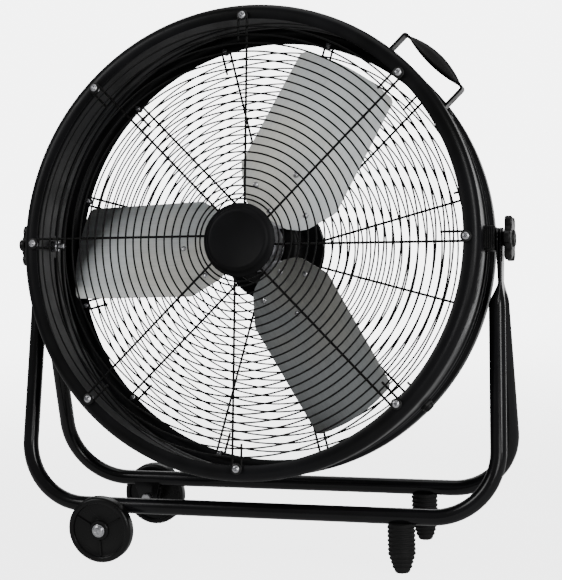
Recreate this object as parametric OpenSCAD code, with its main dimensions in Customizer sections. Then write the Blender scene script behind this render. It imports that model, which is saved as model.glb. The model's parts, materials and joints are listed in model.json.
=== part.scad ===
// Drum fan on a wheeled tilt stand. Millimetres, +Z up, air leaves toward -Y.
// The origin is on the floor, under the middle of the whole object.

/* [Stand] */
// Height of the tilt axis above the floor
pivot_h = 478; // [474:1:490]
// Distance of the tilt axis behind the origin
pivot_y = 6; // [0:0.1:20]
// Outer diameter of the stand tube
tube_d = 24; // [22:1:25]
// Wall thickness of the stand tube
tube_wall = 1.6; // [1.2:0.2:2]
// Half distance between the front and rear base runs
base_half = 88; // [86:1:92]
// Height of the base runs above the floor
run_h = 83; // [82:1:86]
// Half width of the stand at the floor end of the legs
leg_x_low = 371; // [367:1:375]
// Half width of the stand at the tilt axis
leg_x_top = 363; // [360:1:364]
// Centreline radius of the stand's lower bends
bend_r = 96; // [80:2:110]

/* [Wheels and feet] */
// Wheel diameter
wheel_d = 102; // [98:1:104]
// Width of one wheel
wheel_w = 20; // [18:1:24]
// Distance of the wheels from the centre line
wheel_x = 236; // [220:2:240]
// Diameter of an axle bolt
axle_d = 10; // [8:1:12]
// Distance of the rubber feet from the centre line
foot_x = 228; // [210:2:235]
// Largest diameter of a rubber foot
foot_d = 41; // [36:1:44]

/* [Drum] */
// Tilt of the drum at rest, outlet upward
tilt = 10; // [0:1:20]
// Height of the tilt axis above the drum's own axis
pivot_rise = 4.5; // [0:0.5:6]
// Outer radius of the rolled end rings
roll_r = 353.5; // [352:0.5:355]
// Outer radius of the barrel between the end rings
barrel_r = 347; // [345:0.5:348]
// Inner radius of the end flanges
lip_r = 329.5; // [328:0.5:330]
// Front face of the front flange, ahead of the tilt axis
lip_front = 89; // [86:1:92]
// Rear face of the rear flange, behind the tilt axis
lip_rear = 82; // [80:1:84]
// Sheet thickness of the drum
sheet = 2; // [1.6:0.2:2.4]

/* [Guards] */
// Radius of the circle of guard screws
screw_circle = 334; // [333:0.5:335]
// Number of front guard spokes and screws
front_spokes = 8; // [8]
// Number of rear guard spokes and screws
rear_spokes = 12; // [12]
// Diameter of a guard spoke wire
spoke_d = 3.6; // [3:0.2:4]
// Diameter of a guard ring wire
ring_d = 2.6; // [2:0.2:3]
// Distance between guard rings
ring_pitch = 12.45; // [12:0.05:12.7]
// Radius of the innermost spaced ring
ring_first = 68; // [66:1:70]
// Number of spaced rings in a guard
ring_count = 21; // [21]
// Half distance between the two legs of a hairpin spoke
hairpin = 6.8; // [6.4:0.2:7.2]

/* [Fan] */
// Radius of the blade tips
blade_r = 301.5; // [295:0.5:305]
// Half width of a blade at its tip
blade_half = 79; // [74:1:80]
// Pitch of the blades
blade_pitch = 21; // [18:1:30]
// Angle of the first blade
blade_phase = 61.5; // [61.5]
// Thickness of a blade
blade_t = 1.6; // [1.2:0.2:2]
// Motor radius
motor_r = 57; // [55:1:59]

/* [Handle] */
// Angle of the handle on the drum
handle_angle = 45; // [40:1:50]
// Half distance between the handle's legs
handle_half = 61; // [56:1:66]
// Distance of the handle's bar from the drum axis
handle_r = 383; // [380:1:386]

/* [Hidden] */
$fn = 64;
gap = 0.05;

// Stand, worked out in the plane of one hoop
run_drop = pivot_h - run_h;
hoop_len = sqrt(run_drop * run_drop + base_half * base_half);
hoop_lean = atan(base_half / run_drop);
leg_lean = atan((leg_x_low - leg_x_top) / hoop_len);
bend_z = hoop_len - bend_r;
bend_x = leg_x_top + (leg_x_low - leg_x_top) * bend_z / hoop_len - bend_r / cos(leg_lean);
tab_t = 5;
tab_w = 32;
tab_outer = 373.4;
tab_end = 65;
tube_start = 98;
swell = 0.8;
pivot_hole = 5.25;

// Wheels and brackets
wheel_in = base_half + tube_d / 2 + 2.5;
wheel_h = wheel_d / 2;
cheek_t = 4;
cheek_out = base_half + tube_d / 2 - 1;
cheek_in = base_half - tube_d / 2 + 1;
axle_hole = axle_d / 2 + gap;

// Guards, along the drum axis
front_spoke_z = lip_front + spoke_d / 2;
front_ring_z = lip_front + spoke_d + ring_d / 2 + gap;
rear_spoke_z = -lip_rear - spoke_d / 2;
rear_ring_z = -lip_rear - spoke_d - ring_d / 2 - gap;
guard_screw_d = 5;
guard_head_d = 11;
rear_first = 15;
return_r = 298;
front_cap_r = 55;

// Motor, along the drum axis
plate_t = 3;
motor_back = -lip_rear + plate_t;
motor_bolt_circle = 44;
bearing_r = 14;
core_z = -64;
core_len = 26;
motor_front = -27;
bell_front = -19;
shaft_r = 6;
box_w = 96;
box_h = 78;
box_back = -126;
box_front = -lip_rear - spoke_d - plate_t;

// Handle, flat bar and grip
bar_t = 4;
bar_w = 20;

// Tilt knobs
knob_collar = 4.4;
knob_head = 10.5;
knob_r = 35.5;

// Speed switch, and the lead that runs from it to the windings
switch_x = 22;
switch_r = 15;
winding_back = -72;
lead_d = 5;
lead_y = -29;
lead_bend = 7;
lead_turn_z = -110;

// Gland on the barrel, where the mains cord would leave
gland_angle = 317;
gland_z = -28;
gland_bore = 8;

// Places a child modelled on the drum axis: x right, y up, z toward the outlet
module on_drum() {
    translate([0, pivot_y, pivot_h]) rotate([-tilt, 0, 0])
        translate([0, 0, -pivot_rise]) rotate([90, 0, 0]) children();
}

// Repeats a child around the drum axis
module around(count, first = 0) {
    for (i = [0 : count - 1]) rotate([0, 0, first + i * 360 / count]) children();
}

// Points of an arc
function arc(cx, cy, r, a0, a1, n = 6) =
    [for (i = [0 : n]) [cx + r * cos(a0 + (a1 - a0) * i / n), cy + r * sin(a0 + (a1 - a0) * i / n)]];

// Straight stretch of leg, from start to end along the leg, filled to diameter d
module leg_stretch(d, start, end) {
    translate([leg_x_top + start * tan(leg_lean), 0, -start]) rotate([0, 180 - leg_lean, 0])
        cylinder(d = d, h = (end - start) / cos(leg_lean));
}

// Leg, bend and half of the base run on the right side, filled to diameter d.
// The bend is extra wider than the straights, which reach lap into it.
module half_hoop(d, start, extra) {
    lap = 2;
    leg_stretch(d, start, bend_z - bend_r * sin(leg_lean) + lap);
    translate([bend_x, 0, -bend_z]) rotate([90, 0, 0]) rotate([0, 0, -90])
        rotate_extrude(angle = 90 + leg_lean) translate([bend_r, 0]) circle(d = d + extra);
    translate([0, 0, -hoop_len]) rotate([0, 90, 0]) cylinder(d = d, h = bend_x + lap);
}

// Flattened end of a leg, with the clear hole for the pivot stud
module leg_tab(x_in) {
    inner = leg_x_top + tube_start * tan(leg_lean) - tube_d / 2 - 1;
    outer = x_in + tab_t + 2;
    tube_w = tube_d * 0.84;
    difference() {
        union() {
            translate([x_in, 0, 0]) rotate([0, 90, 0]) cylinder(d = tab_w, h = tab_t);
            translate([x_in, 0, 0]) rotate([90, 0, 90]) linear_extrude(tab_t) polygon([
                [-tab_w / 2, 0], [-tab_w / 2, -tab_end], [-tube_w / 2, 4 - tube_start],
                [tube_w / 2, 4 - tube_start], [tab_w / 2, -tab_end], [tab_w / 2, 0]
            ]);
            intersection() {
                leg_stretch(tube_d + swell, tab_end - 6, tube_start + 3);
                translate([0, tab_w / 2, 0]) rotate([90, 0, 0]) linear_extrude(tab_w) polygon([
                    [x_in + 1, -tab_end + 4], [inner, -tube_start], [inner, -tube_start - 10],
                    [outer, -tube_start - 10], [outer, -tube_start], [x_in + tab_t - 1, -tab_end + 4]
                ]);
            }
        }
        translate([x_in - 1, 0, 0]) rotate([0, 90, 0]) cylinder(r = pivot_hole, h = tab_t + 2);
    }
}

// One complete hoop in its own plane
module hoop(x_in) {
    for (s = [0, 1]) mirror([s, 0, 0]) {
        difference() {
            half_hoop(tube_d, tube_start, swell);
            half_hoop(tube_d - 2 * tube_wall, tube_start - 1, -swell);
        }
        leg_tab(x_in);
    }
}

module foot_hole(side) {
    translate([foot_x, pivot_y + side * base_half, run_h - tube_d]) cylinder(r = 3.2, h = tube_d);
}

module front_hoop() {
    color([0.07, 0.07, 0.08]) difference() {
        translate([0, pivot_y, pivot_h]) rotate([-hoop_lean, 0, 0]) hoop(tab_outer - tab_t);
        foot_hole(-1);
    }
}

module rear_hoop() {
    color([0.07, 0.07, 0.08]) difference() {
        translate([0, pivot_y, pivot_h]) rotate([hoop_lean, 0, 0]) hoop(tab_outer - 2 * tab_t - 2 * gap);
        foot_hole(1);
    }
}

// Pressed channel welded under a base run, seen from the front side of the stand
module wheel_bracket() {
    difference() {
        translate([0, -cheek_in, 0]) rotate([90, 0, 0]) linear_extrude(cheek_out - cheek_in) union() {
            translate([0, wheel_h]) circle(r = 15);
            polygon([[-15, wheel_h], [15, wheel_h], [24, run_h], [-24, run_h]]);
        }
        translate([-40, -base_half, run_h]) rotate([0, 90, 0]) cylinder(d = tube_d + 2 * gap, h = 80);
        translate([-30, -cheek_out - 1, run_h]) cube([60, 40, 10]);
        translate([-30, -cheek_out + cheek_t, 0])
            cube([60, cheek_out - cheek_in - 2 * cheek_t, run_h - tube_d / 2 - 5]);
        translate([0, -cheek_in + 1, wheel_h]) rotate([90, 0, 0]) cylinder(r = axle_hole, h = 40);
    }
}

module wheel_side(side) {
    translate([-wheel_x, pivot_y, 0]) mirror([0, side > 0 ? 1 : 0, 0]) children();
}

module wheel_bracket_front() { color([0.07, 0.07, 0.08]) wheel_side(-1) wheel_bracket(); }
module wheel_bracket_rear() { color([0.07, 0.07, 0.08]) wheel_side(1) wheel_bracket(); }

// Axle bolt with a domed flange head outside the wheel
module axle_bolt() {
    head_y = wheel_in + wheel_w + 0.4;
    translate([0, -head_y, wheel_h]) rotate([90, 0, 0]) difference() {
        union() {
            cylinder(d = 20, h = 2);
            translate([0, 0, 2]) cylinder(d1 = 18, d2 = 13, h = 3);
        }
        translate([0, 0, 3]) cylinder(d = 6, h = 4, $fn = 6);
    }
    translate([0, -cheek_in + 12, wheel_h]) rotate([90, 0, 0])
        cylinder(d = axle_d, h = head_y - cheek_in + 12);
}

module axle_bolts() {
    color([0.75, 0.75, 0.76]) for (side = [-1, 1]) wheel_side(side) axle_bolt();
}

module axle_nuts() {
    color([0.75, 0.75, 0.76]) for (side = [-1, 1]) wheel_side(side)
        translate([0, -cheek_in + 9, wheel_h]) rotate([90, 0, 0]) difference() {
            cylinder(d = 18, h = 9 - gap, $fn = 6);
            translate([0, 0, -1]) cylinder(r = axle_d / 2, h = 11);
        }
}

// Spacing washers between the wheels and their brackets
module axle_washers() {
    color([0.75, 0.75, 0.76]) for (side = [-1, 1]) wheel_side(side)
        translate([0, -cheek_out - gap, wheel_h]) rotate([90, 0, 0]) difference() {
            cylinder(d = 22, h = wheel_in - cheek_out - 0.4);
            translate([0, 0, -1]) cylinder(r = axle_hole, h = 8);
        }
}

// Moulded wheel with rounded shoulders, a recessed web and a long hub
module wheel() {
    r = wheel_d / 2;
    round_r = 6;
    translate([0, -wheel_in, wheel_h]) rotate([90, 0, 0]) difference() {
        rotate_extrude($fn = 96) polygon(concat(
            [[0, 0], [r - round_r, 0]],
            arc(r - round_r, round_r, round_r, -90, 0),
            arc(r - round_r, wheel_w - round_r, round_r, 0, 90),
            [[r - 9, wheel_w], [r - 12, wheel_w - 3], [15, wheel_w - 3], [14, wheel_w], [0, wheel_w]]
        ));
        translate([0, 0, -1]) cylinder(r = axle_d / 2 + 0.08, h = wheel_w + 2);
    }
}

module wheel_front() { color([0.05, 0.05, 0.055]) wheel_side(-1) wheel(); }
module wheel_rear() { color([0.05, 0.05, 0.055]) wheel_side(1) wheel(); }

// Ribbed rubber cone that fits under the base run
module foot() {
    core_r = foot_d / 2 - 1.6;
    toe_r = foot_d * 0.26;
    taper_h = 28;
    taper = (core_r - toe_r) / taper_h;
    rib_pitch = 6.6;
    top = run_h - tube_d / 2 + 3;
    difference() {
        union() {
            cylinder(r1 = toe_r, r2 = core_r, h = taper_h);
            translate([0, 0, taper_h]) cylinder(r = core_r, h = top - taper_h);
            for (z = [rib_pitch : rib_pitch : top - rib_pitch]) translate([0, 0, z])
                cylinder(r = min(foot_d / 2, toe_r + 2.2 + z * taper), h = rib_pitch / 2);
        }
        translate([-40, 0, run_h]) rotate([0, 90, 0]) cylinder(d = tube_d + 2 * gap, h = 80);
        translate([0, 0, -1]) cylinder(r = 6.2, h = 19);
        translate([0, 0, -1]) cylinder(r = 3.2, h = run_h);
    }
}

module foot_front() {
    color([0.06, 0.06, 0.06]) translate([foot_x, pivot_y - base_half, 0]) foot();
}
module foot_rear() {
    color([0.06, 0.06, 0.06]) translate([foot_x, pivot_y + base_half, 0]) foot();
}

module foot_bolts() {
    color([0.7, 0.7, 0.72]) for (side = [-1, 1])
        translate([foot_x, pivot_y + side * base_half, 0]) {
            translate([0, 0, 13]) cylinder(r = 5.8, h = 5);
            translate([0, 0, 18]) cylinder(r = 3, h = run_h - tube_d / 2 - 12);
        }
}

// Sheet outline of the drum: flanges, rolled rings and barrel
module shell_profile() {
    roll = 13.5;
    ring_len = 31;
    step = 9;
    front = lip_front;
    rear = -lip_rear;
    nip = sheet * 0.4;
    polygon(concat(
        [[lip_r, front]],
        arc(roll_r - roll, front - roll, roll, 90, 0),
        [[roll_r, front - ring_len], [barrel_r, front - ring_len - step]],
        [[barrel_r, rear + ring_len + step], [roll_r, rear + ring_len]],
        arc(roll_r - roll, rear + roll, roll, 0, -90),
        [[lip_r, rear], [lip_r, rear + sheet]],
        arc(roll_r - roll, rear + roll, roll - sheet, -90, 0),
        [[roll_r - sheet, rear + ring_len - nip], [barrel_r - sheet, rear + ring_len + step - nip]],
        [[barrel_r - sheet, front - ring_len - step + nip], [roll_r - sheet, front - ring_len + nip]],
        arc(roll_r - roll, front - roll, roll - sheet, 0, 90),
        [[lip_r, front - sheet]]
    ));
}

// Places of the handle's bolts: on the barrel surface, pointing outward
module handle_bolt_places() {
    for (s = [-1, 1]) rotate([0, 0, handle_angle + s * asin((handle_half + 9) / barrel_r)])
        translate([barrel_r, 0, 0]) rotate([0, 90, 0]) children();
}

module drum_shell() {
    color([0.06, 0.06, 0.07]) on_drum() difference() {
        rotate_extrude($fn = 180) shell_profile();
        around(front_spokes) translate([screw_circle, 0, lip_front - 5])
            cylinder(d = guard_screw_d + 0.4, h = 10);
        around(rear_spokes, rear_first) translate([screw_circle, 0, -lip_rear - 5])
            cylinder(d = guard_screw_d + 0.4, h = 10);
        for (s = [-1, 1]) translate([0, pivot_rise, 0]) rotate([0, s * 90, 0])
            translate([0, 0, barrel_r - 20]) cylinder(r = pivot_hole, h = 30);
        handle_bolt_places() translate([0, 0, -10]) cylinder(r = 3.2, h = 20);
        rotate([0, 0, gland_angle]) translate([barrel_r - 10, 0, gland_z]) rotate([0, 90, 0])
            cylinder(d = 16.2, h = 20);
    }
}

// Hairpin spoke along +x: a long leg to the centre, a loop round its screw, a short return
module hairpin_spoke(inner_r) {
    translate([inner_r, -hairpin, 0]) rotate([0, 90, 0]) cylinder(d = spoke_d, h = screw_circle - inner_r);
    translate([return_r, hairpin, 0]) rotate([0, 90, 0]) cylinder(d = spoke_d, h = screw_circle - return_r);
    translate([screw_circle, 0, 0]) rotate([0, 0, -90])
        rotate_extrude(angle = 180) translate([hairpin, 0]) circle(d = spoke_d, $fn = 24);
}

module guard_rings(from) {
    for (i = [from : ring_count - 1]) guard_ring(ring_first + i * ring_pitch);
}

module guard_ring(r) {
    rotate_extrude($fn = 96) translate([r, 0]) circle(d = ring_d, $fn = 24);
}

module front_guard_spokes() {
    color([0.05, 0.05, 0.06]) on_drum() translate([0, 0, front_spoke_z])
        around(front_spokes) hairpin_spoke(34);
}

module front_guard_rings() {
    color([0.05, 0.05, 0.06]) on_drum() translate([0, 0, front_ring_z]) {
        guard_ring(ring_first - 7);
        guard_rings(0);
    }
}

module front_guard_plate() {
    color([0.05, 0.05, 0.06]) on_drum() translate([0, 0, lip_front - 2 - gap]) cylinder(r = 50, h = 2);
}

// Pressed dish over the middle of the front guard
module front_cap() {
    base = lip_front + spoke_d + gap;
    color([0.08, 0.08, 0.09]) on_drum() rotate_extrude($fn = 96) polygon(concat(
        [[0, base + 10], [front_cap_r - 14, base + 10]],
        [[front_cap_r - 4, base], [front_cap_r, base], [front_cap_r, base + 2]],
        arc(front_cap_r - 14, base + 8, 4, 40, 90, 3),
        [[0, base + 12]]
    ));
}

// Pan head screw, head upward, shank reaching down
module guard_screw(length) {
    cylinder(d = guard_head_d, h = 2);
    translate([0, 0, 2]) cylinder(d1 = guard_head_d, d2 = 7, h = 2);
    translate([0, 0, -length]) cylinder(d = guard_screw_d, h = length);
}

module front_screws() {
    color([0.8, 0.8, 0.82]) on_drum() around(front_spokes)
        translate([screw_circle, 0, lip_front + spoke_d + 1.6]) guard_screw(14);
}

module front_washers() {
    color([0.08, 0.08, 0.08]) on_drum() around(front_spokes)
        translate([screw_circle, 0, lip_front + spoke_d + gap]) difference() {
            cylinder(d = 16, h = 1.5);
            translate([0, 0, -1]) cylinder(d = guard_screw_d + 0.4, h = 4);
        }
}

module guard_nut() {
    difference() {
        cylinder(d = 9.2, h = 4, $fn = 6);
        translate([0, 0, -1]) cylinder(d = guard_screw_d, h = 6);
    }
}

module front_nuts() {
    color([0.75, 0.75, 0.77]) on_drum() around(front_spokes)
        translate([screw_circle, 0, lip_front - sheet - 4 - gap]) guard_nut();
}

module rear_guard_spokes() {
    color([0.05, 0.05, 0.06]) on_drum() translate([0, 0, rear_spoke_z])
        around(rear_spokes, rear_first) hairpin_spoke(44);
}

module rear_guard_rings() {
    color([0.05, 0.05, 0.06]) on_drum() translate([0, 0, rear_ring_z]) guard_rings(1);
}

// Clear holes for the motor bolts and the motor lead, around z = 0
module plate_holes() {
    around(4, 45) translate([motor_bolt_circle, 0, -6]) cylinder(r = 3.2, h = 16);
    translate([switch_x, lead_y, -6]) cylinder(d = lead_d + 1, h = 16);
}

module rear_motor_plate() {
    color([0.05, 0.05, 0.05]) on_drum() translate([0, 0, -lip_rear + gap]) difference() {
        cylinder(r = 81, h = plate_t - gap, $fn = 96);
        plate_holes();
        translate([0, 0, -1]) cylinder(r = 14, h = 8);
    }
}

module rear_cover_plate() {
    color([0.05, 0.05, 0.05]) on_drum() translate([0, 0, box_front]) difference() {
        cylinder(r = 72, h = plate_t - gap, $fn = 96);
        plate_holes();
        translate([0, 0, -1]) cylinder(r = 14, h = 8);
    }
}

module rear_screws() {
    color([0.8, 0.8, 0.82]) on_drum() around(rear_spokes, rear_first)
        translate([screw_circle, 0, -lip_rear - spoke_d - gap]) mirror([0, 0, 1]) guard_screw(12);
}

module rear_nuts() {
    color([0.7, 0.7, 0.72]) on_drum() around(rear_spokes, rear_first)
        translate([screw_circle, 0, -lip_rear + sheet + gap]) guard_nut();
}

// Motor casing: a closed rear end with a bearing seat and a plain wall
module motor_housing() {
    color([0.05, 0.05, 0.055]) on_drum() difference() {
        translate([0, 0, motor_back + gap])
            cylinder(r = motor_r, h = motor_front - motor_back - gap, $fn = 96);
        translate([0, 0, motor_back + 4]) cylinder(r = motor_r - 3, h = 80, $fn = 96);
        translate([0, 0, motor_back - 1]) cylinder(r = 9, h = 8);
        around(4, 45) translate([motor_bolt_circle, 0, motor_back - 1]) cylinder(r = 2.5, h = 8);
        translate([switch_x, lead_y, motor_back - 1]) cylinder(d = lead_d + 1, h = 8);
    }
    color([0.05, 0.05, 0.055]) on_drum() translate([0, 0, motor_back + 3.9]) difference() {
        cylinder(r = bearing_r + 3, h = 7);
        translate([0, 0, -1]) cylinder(r = bearing_r, h = 12);
    }
}

// Front end bell with rounded shoulder, spigot and bearing seat
module motor_front_bell() {
    color([0.06, 0.06, 0.065]) on_drum() difference() {
        rotate_extrude($fn = 96) polygon(concat(
            [[9, motor_front + 4], [14, motor_front + 4], [14, motor_front - 4], [17, motor_front - 4]],
            [[17, motor_front + 3], [motor_r - 6.2, motor_front + 3], [motor_r - 6.2, motor_front - 4]],
            [[motor_r - 3.1, motor_front - 4], [motor_r - 3.1, motor_front + gap]],
            [[motor_r, motor_front + gap]],
            arc(motor_r - 6, bell_front - 6, 6, 0, 90, 4),
            [[9, bell_front]]
        ));
        around(4, 45) translate([motor_bolt_circle, 0, motor_front - 5]) cylinder(r = 2.6, h = 20);
    }
}

module stator_core() {
    color([0.45, 0.46, 0.48]) on_drum() translate([0, 0, core_z]) difference() {
        cylinder(r = motor_r - 3.1, h = core_len, $fn = 96);
        translate([0, 0, -1]) cylinder(r = 31, h = core_len + 2, $fn = 96);
        around(4, 45) translate([motor_bolt_circle, 0, -1]) cylinder(r = 2.7, h = 30);
    }
}

module stator_windings() {
    color([0.72, 0.4, 0.2]) on_drum() for (z = [winding_back, core_z + core_len + gap])
        translate([0, 0, z]) difference() {
            cylinder(r = 40, h = 8 - gap);
            translate([0, 0, -1]) cylinder(r = 33, h = 10);
        }
}

module ball_bearing(z) {
    translate([0, 0, z]) difference() {
        cylinder(r = bearing_r - gap, h = 8);
        translate([0, 0, -1]) cylinder(r = shaft_r + gap, h = 10);
    }
}

module bearing_front() { color([0.7, 0.7, 0.72]) on_drum() ball_bearing(motor_front - 4); }
module bearing_rear() { color([0.7, 0.7, 0.72]) on_drum() ball_bearing(motor_back + 4 + gap); }

// Four long bolts from the front bell through to the rear cover plate
module motor_bolts() {
    color([0.7, 0.7, 0.72]) on_drum() around(4, 45) translate([motor_bolt_circle, 0, 0]) {
        translate([0, 0, bell_front + gap]) cylinder(d = 8, h = 3);
        translate([0, 0, box_front - 8]) cylinder(d = 4.8, h = bell_front - box_front + 8.1);
    }
}

module motor_nuts() {
    color([0.7, 0.7, 0.72]) on_drum() around(4, 45)
        translate([motor_bolt_circle, 0, box_front - 2 - gap]) mirror([0, 0, 1]) difference() {
            cylinder(d = 9, h = 4, $fn = 6);
            translate([0, 0, -1]) cylinder(d = 4.8, h = 6);
        }
}

// Open switch box on the rear cover plate
module switch_box() {
    wall = 2;
    color([0.05, 0.05, 0.05]) on_drum() translate([0, 0, box_back]) difference() {
        translate([-box_w / 2, -box_h / 2, 0]) cube([box_w, box_h, box_front - box_back - gap]);
        translate([-box_w / 2 + wall, -box_h / 2 + wall, -1])
            cube([box_w - 2 * wall, box_h - 2 * wall, box_front - box_back - wall + 1]);
        translate([0, 0, box_front - box_back - 3]) plate_holes();
        translate([0, 0, 20]) cylinder(r = 14, h = 30);
    }
}

module switch_box_lid() {
    color([0.06, 0.06, 0.06]) on_drum() translate([0, 0, box_back - 2.5 - gap]) difference() {
        translate([-box_w / 2, -box_h / 2, 0]) cube([box_w, box_h, 2.5]);
        translate([switch_x, 0, -1]) cylinder(r = 5.1, h = 5);
    }
}

// Rotary switch body fixed behind the lid
module switch_body() {
    color([0.15, 0.15, 0.16]) on_drum() translate([switch_x, 0, box_back + gap]) difference() {
        cylinder(r = switch_r, h = 18);
        translate([0, 0, -1]) cylinder(r = 3.3, h = 14);
    }
}

module run_capacitor() {
    color([0.8, 0.8, 0.8]) on_drum() translate([-24, -22, box_back + 17]) rotate([-90, 0, 0])
        cylinder(d = 30, h = 46);
}

// Lead from the rear windings, through the plates, to the side of the speed switch
module motor_lead() {
    bend_y = lead_y + lead_bend;
    color([0.04, 0.04, 0.04]) on_drum() translate([switch_x, 0, 0]) {
        translate([0, lead_y, lead_turn_z]) cylinder(d = lead_d, h = winding_back - gap - lead_turn_z);
        translate([0, bend_y, lead_turn_z]) rotate([0, -90, 0]) rotate([0, 0, 180])
            rotate_extrude(angle = 90) translate([lead_bend, 0]) circle(d = lead_d, $fn = 32);
        translate([0, bend_y, lead_turn_z - lead_bend]) rotate([-90, 0, 0])
            cylinder(d = lead_d, h = -switch_r - gap - bend_y);
    }
}

// Cable gland through the barrel, where the mains lead would leave
module lead_gland() {
    color([0.04, 0.04, 0.04]) on_drum() rotate([0, 0, gland_angle])
        translate([barrel_r - sheet, 0, gland_z]) rotate([0, 90, 0]) difference() {
            union() {
                translate([0, 0, gap]) cylinder(d = 16, h = 6);
                translate([0, 0, sheet + 0.6]) cylinder(d = 22, h = 5, $fn = 6);
                translate([0, 0, sheet + 5]) cylinder(d1 = 17, d2 = 13, h = 7);
            }
            translate([0, 0, 4]) cylinder(d = gland_bore, h = 20);
        }
}

// Bent flat bar: two feet on the barrel, two legs and the bar inside the grip
module handle_strap() {
    half = handle_half;
    t = bar_t / 2;
    seat_r = barrel_r + gap;
    low = barrel_r - 20;
    foot_len = 19;
    color([0.06, 0.06, 0.07]) on_drum() difference() {
        rotate([0, 0, handle_angle]) union() {
            translate([0, 0, -bar_w / 2]) linear_extrude(bar_w) polygon([
                [low, half + t], [handle_r - 2, half + t], [handle_r + t, half - 2],
                [handle_r + t, 2 - half], [handle_r - 2, -half - t], [low, -half - t],
                [low, t - half], [handle_r - t, t - half],
                [handle_r - t, half - t], [low, half - t]
            ]);
            for (s = [0, 1]) mirror([0, s, 0]) intersection() {
                cylinder(r = seat_r + bar_t, h = bar_w * 0.98, center = true, $fn = 180);
                translate([low + 5, half, -bar_w]) cube([60, foot_len, 2 * bar_w]);
            }
        }
        translate([0, 0, -bar_w]) cylinder(r = seat_r, h = 2 * bar_w, $fn = 180);
        handle_bolt_places() translate([0, 0, -2]) cylinder(r = 3.2, h = 12);
    }
}

// Lens shaped grip around the bar
module handle_grip() {
    half = handle_half - 3.2;
    out = 13;
    inn = 8.5;
    out_r = (half * half + out * out) / (2 * out);
    inn_r = (half * half + inn * inn) / (2 * inn);
    color([0.04, 0.04, 0.04]) on_drum() rotate([0, 0, handle_angle]) translate([handle_r, 0, -14])
        difference() {
            linear_extrude(28) intersection() {
                translate([out - out_r, 0]) circle(r = out_r, $fn = 180);
                translate([inn_r - inn, 0]) circle(r = inn_r, $fn = 180);
            }
            translate([-bar_t / 2 - gap, -half - 5, 14 - bar_w / 2 - gap])
                cube([bar_t + 2 * gap, 2 * half + 10, bar_w + 2 * gap]);
        }
}

module handle_bolts() {
    color([0.1, 0.1, 0.1]) on_drum() handle_bolt_places() {
        translate([0, 0, bar_t + 2 * gap]) cylinder(d1 = 12, d2 = 8, h = 3.5);
        translate([0, 0, -sheet - 8]) cylinder(r = 3, h = sheet + bar_t + 9);
    }
}

module handle_nuts() {
    color([0.7, 0.7, 0.72]) on_drum() handle_bolt_places()
        translate([0, 0, -sheet - 5.5]) difference() {
            cylinder(d = 11.5, h = 5, $fn = 6);
            translate([0, 0, -1]) cylinder(r = 3, h = 8);
        }
}

// Moulded spacer between the barrel and the stand
module pivot_block(side) {
    color([0.04, 0.04, 0.04]) on_drum() mirror([side < 0 ? 1 : 0, 0, 0]) difference() {
        translate([barrel_r - 6, pivot_rise - 18, -17])
            cube([tab_outer - 2 * tab_t - 0.4 - barrel_r + 6, 36, 34]);
        translate([0, 0, -40]) cylinder(r = barrel_r + gap, h = 80, $fn = 180);
        translate([barrel_r - 20, pivot_rise, 0]) rotate([0, 90, 0]) cylinder(r = pivot_hole, h = 50);
    }
}

module pivot_block_left() { pivot_block(-1); }
module pivot_block_right() { pivot_block(1); }

module pivot_studs() {
    color([0.72, 0.72, 0.74]) on_drum() for (s = [0, 1]) mirror([s, 0, 0])
        translate([barrel_r - 22, pivot_rise, 0]) rotate([0, 90, 0])
            cylinder(r = 5, h = tab_outer + knob_collar + 8 - barrel_r + 22);
}

module pivot_nuts() {
    color([0.75, 0.75, 0.77]) on_drum() for (s = [0, 1]) mirror([s, 0, 0]) {
        translate([barrel_r - sheet - 12, pivot_rise, 0]) rotate([0, 90, 0]) difference() {
            cylinder(d = 19, h = 8, $fn = 6);
            translate([0, 0, -1]) cylinder(r = 5, h = 12);
        }
    }
}

module motor_shaft() {
    color([0.7, 0.7, 0.72]) on_drum() translate([0, 0, motor_back + 5]) cylinder(r = shaft_r, h = 90);
}

module rotor_core() {
    color([0.5, 0.5, 0.52]) on_drum() translate([0, 0, core_z]) difference() {
        cylinder(r = 30.4, h = core_len, $fn = 96);
        translate([0, 0, -1]) cylinder(r = shaft_r, h = 30);
    }
}

// Turned boss with a front flange that carries the blade spider
module fan_hub() {
    color([0.75, 0.76, 0.78]) on_drum() difference() {
        union() {
            translate([0, 0, -16]) cylinder(r = 15, h = 20);
            translate([0, 0, gap]) cylinder(r = 26, h = 4 - gap);
        }
        translate([0, 0, -20]) cylinder(r = shaft_r, h = 40);
    }
}

module spider_pad() {
    rotate([blade_pitch, 0, 0]) translate([0, 0, -blade_t / 2 - 3 - gap]) linear_extrude(3) polygon([
        [34, -12], [64, -46], [84, -50], [130, -10], [130, 10], [92, 58], [76, 58], [34, 14]
    ]);
}

module blade_spider() {
    color([0.7, 0.7, 0.72]) on_drum() difference() {
        union() {
            translate([0, 0, -6]) cylinder(r = 40, h = 6);
            around(3, blade_phase) spider_pad();
        }
        translate([0, 0, -20]) cylinder(r = 15 + gap, h = 40);
        around(3, blade_phase) rivet_places() translate([0, 0, -8]) cylinder(d = 4.2, h = 16);
    }
}

// Places of the four rivets that hold one blade
module rivet_places() {
    rotate([blade_pitch, 0, 0])
        for (p = [[54, 10], [122, 0], [80, 47], [74, -42]]) translate([p[0], p[1], 0]) children();
}

// Paddle blade with an arc tip and a cut-back root
module blade(i) {
    root = blade_half + 3;
    color([0.66, 0.66, 0.65]) on_drum() rotate([0, 0, blade_phase + i * 120]) difference() {
        rotate([blade_pitch, 0, 0]) translate([0, 0, -blade_t / 2]) linear_extrude(blade_t) intersection() {
            circle(r = blade_r, $fn = 180);
            polygon([
                [42, -26], [52, -52], [99, -root], [310, -blade_half],
                [310, blade_half], [99, root], [52, 52], [42, 26]
            ]);
        }
        rivet_places() translate([0, 0, -5]) cylinder(d = 4.2, h = 10);
    }
}

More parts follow.
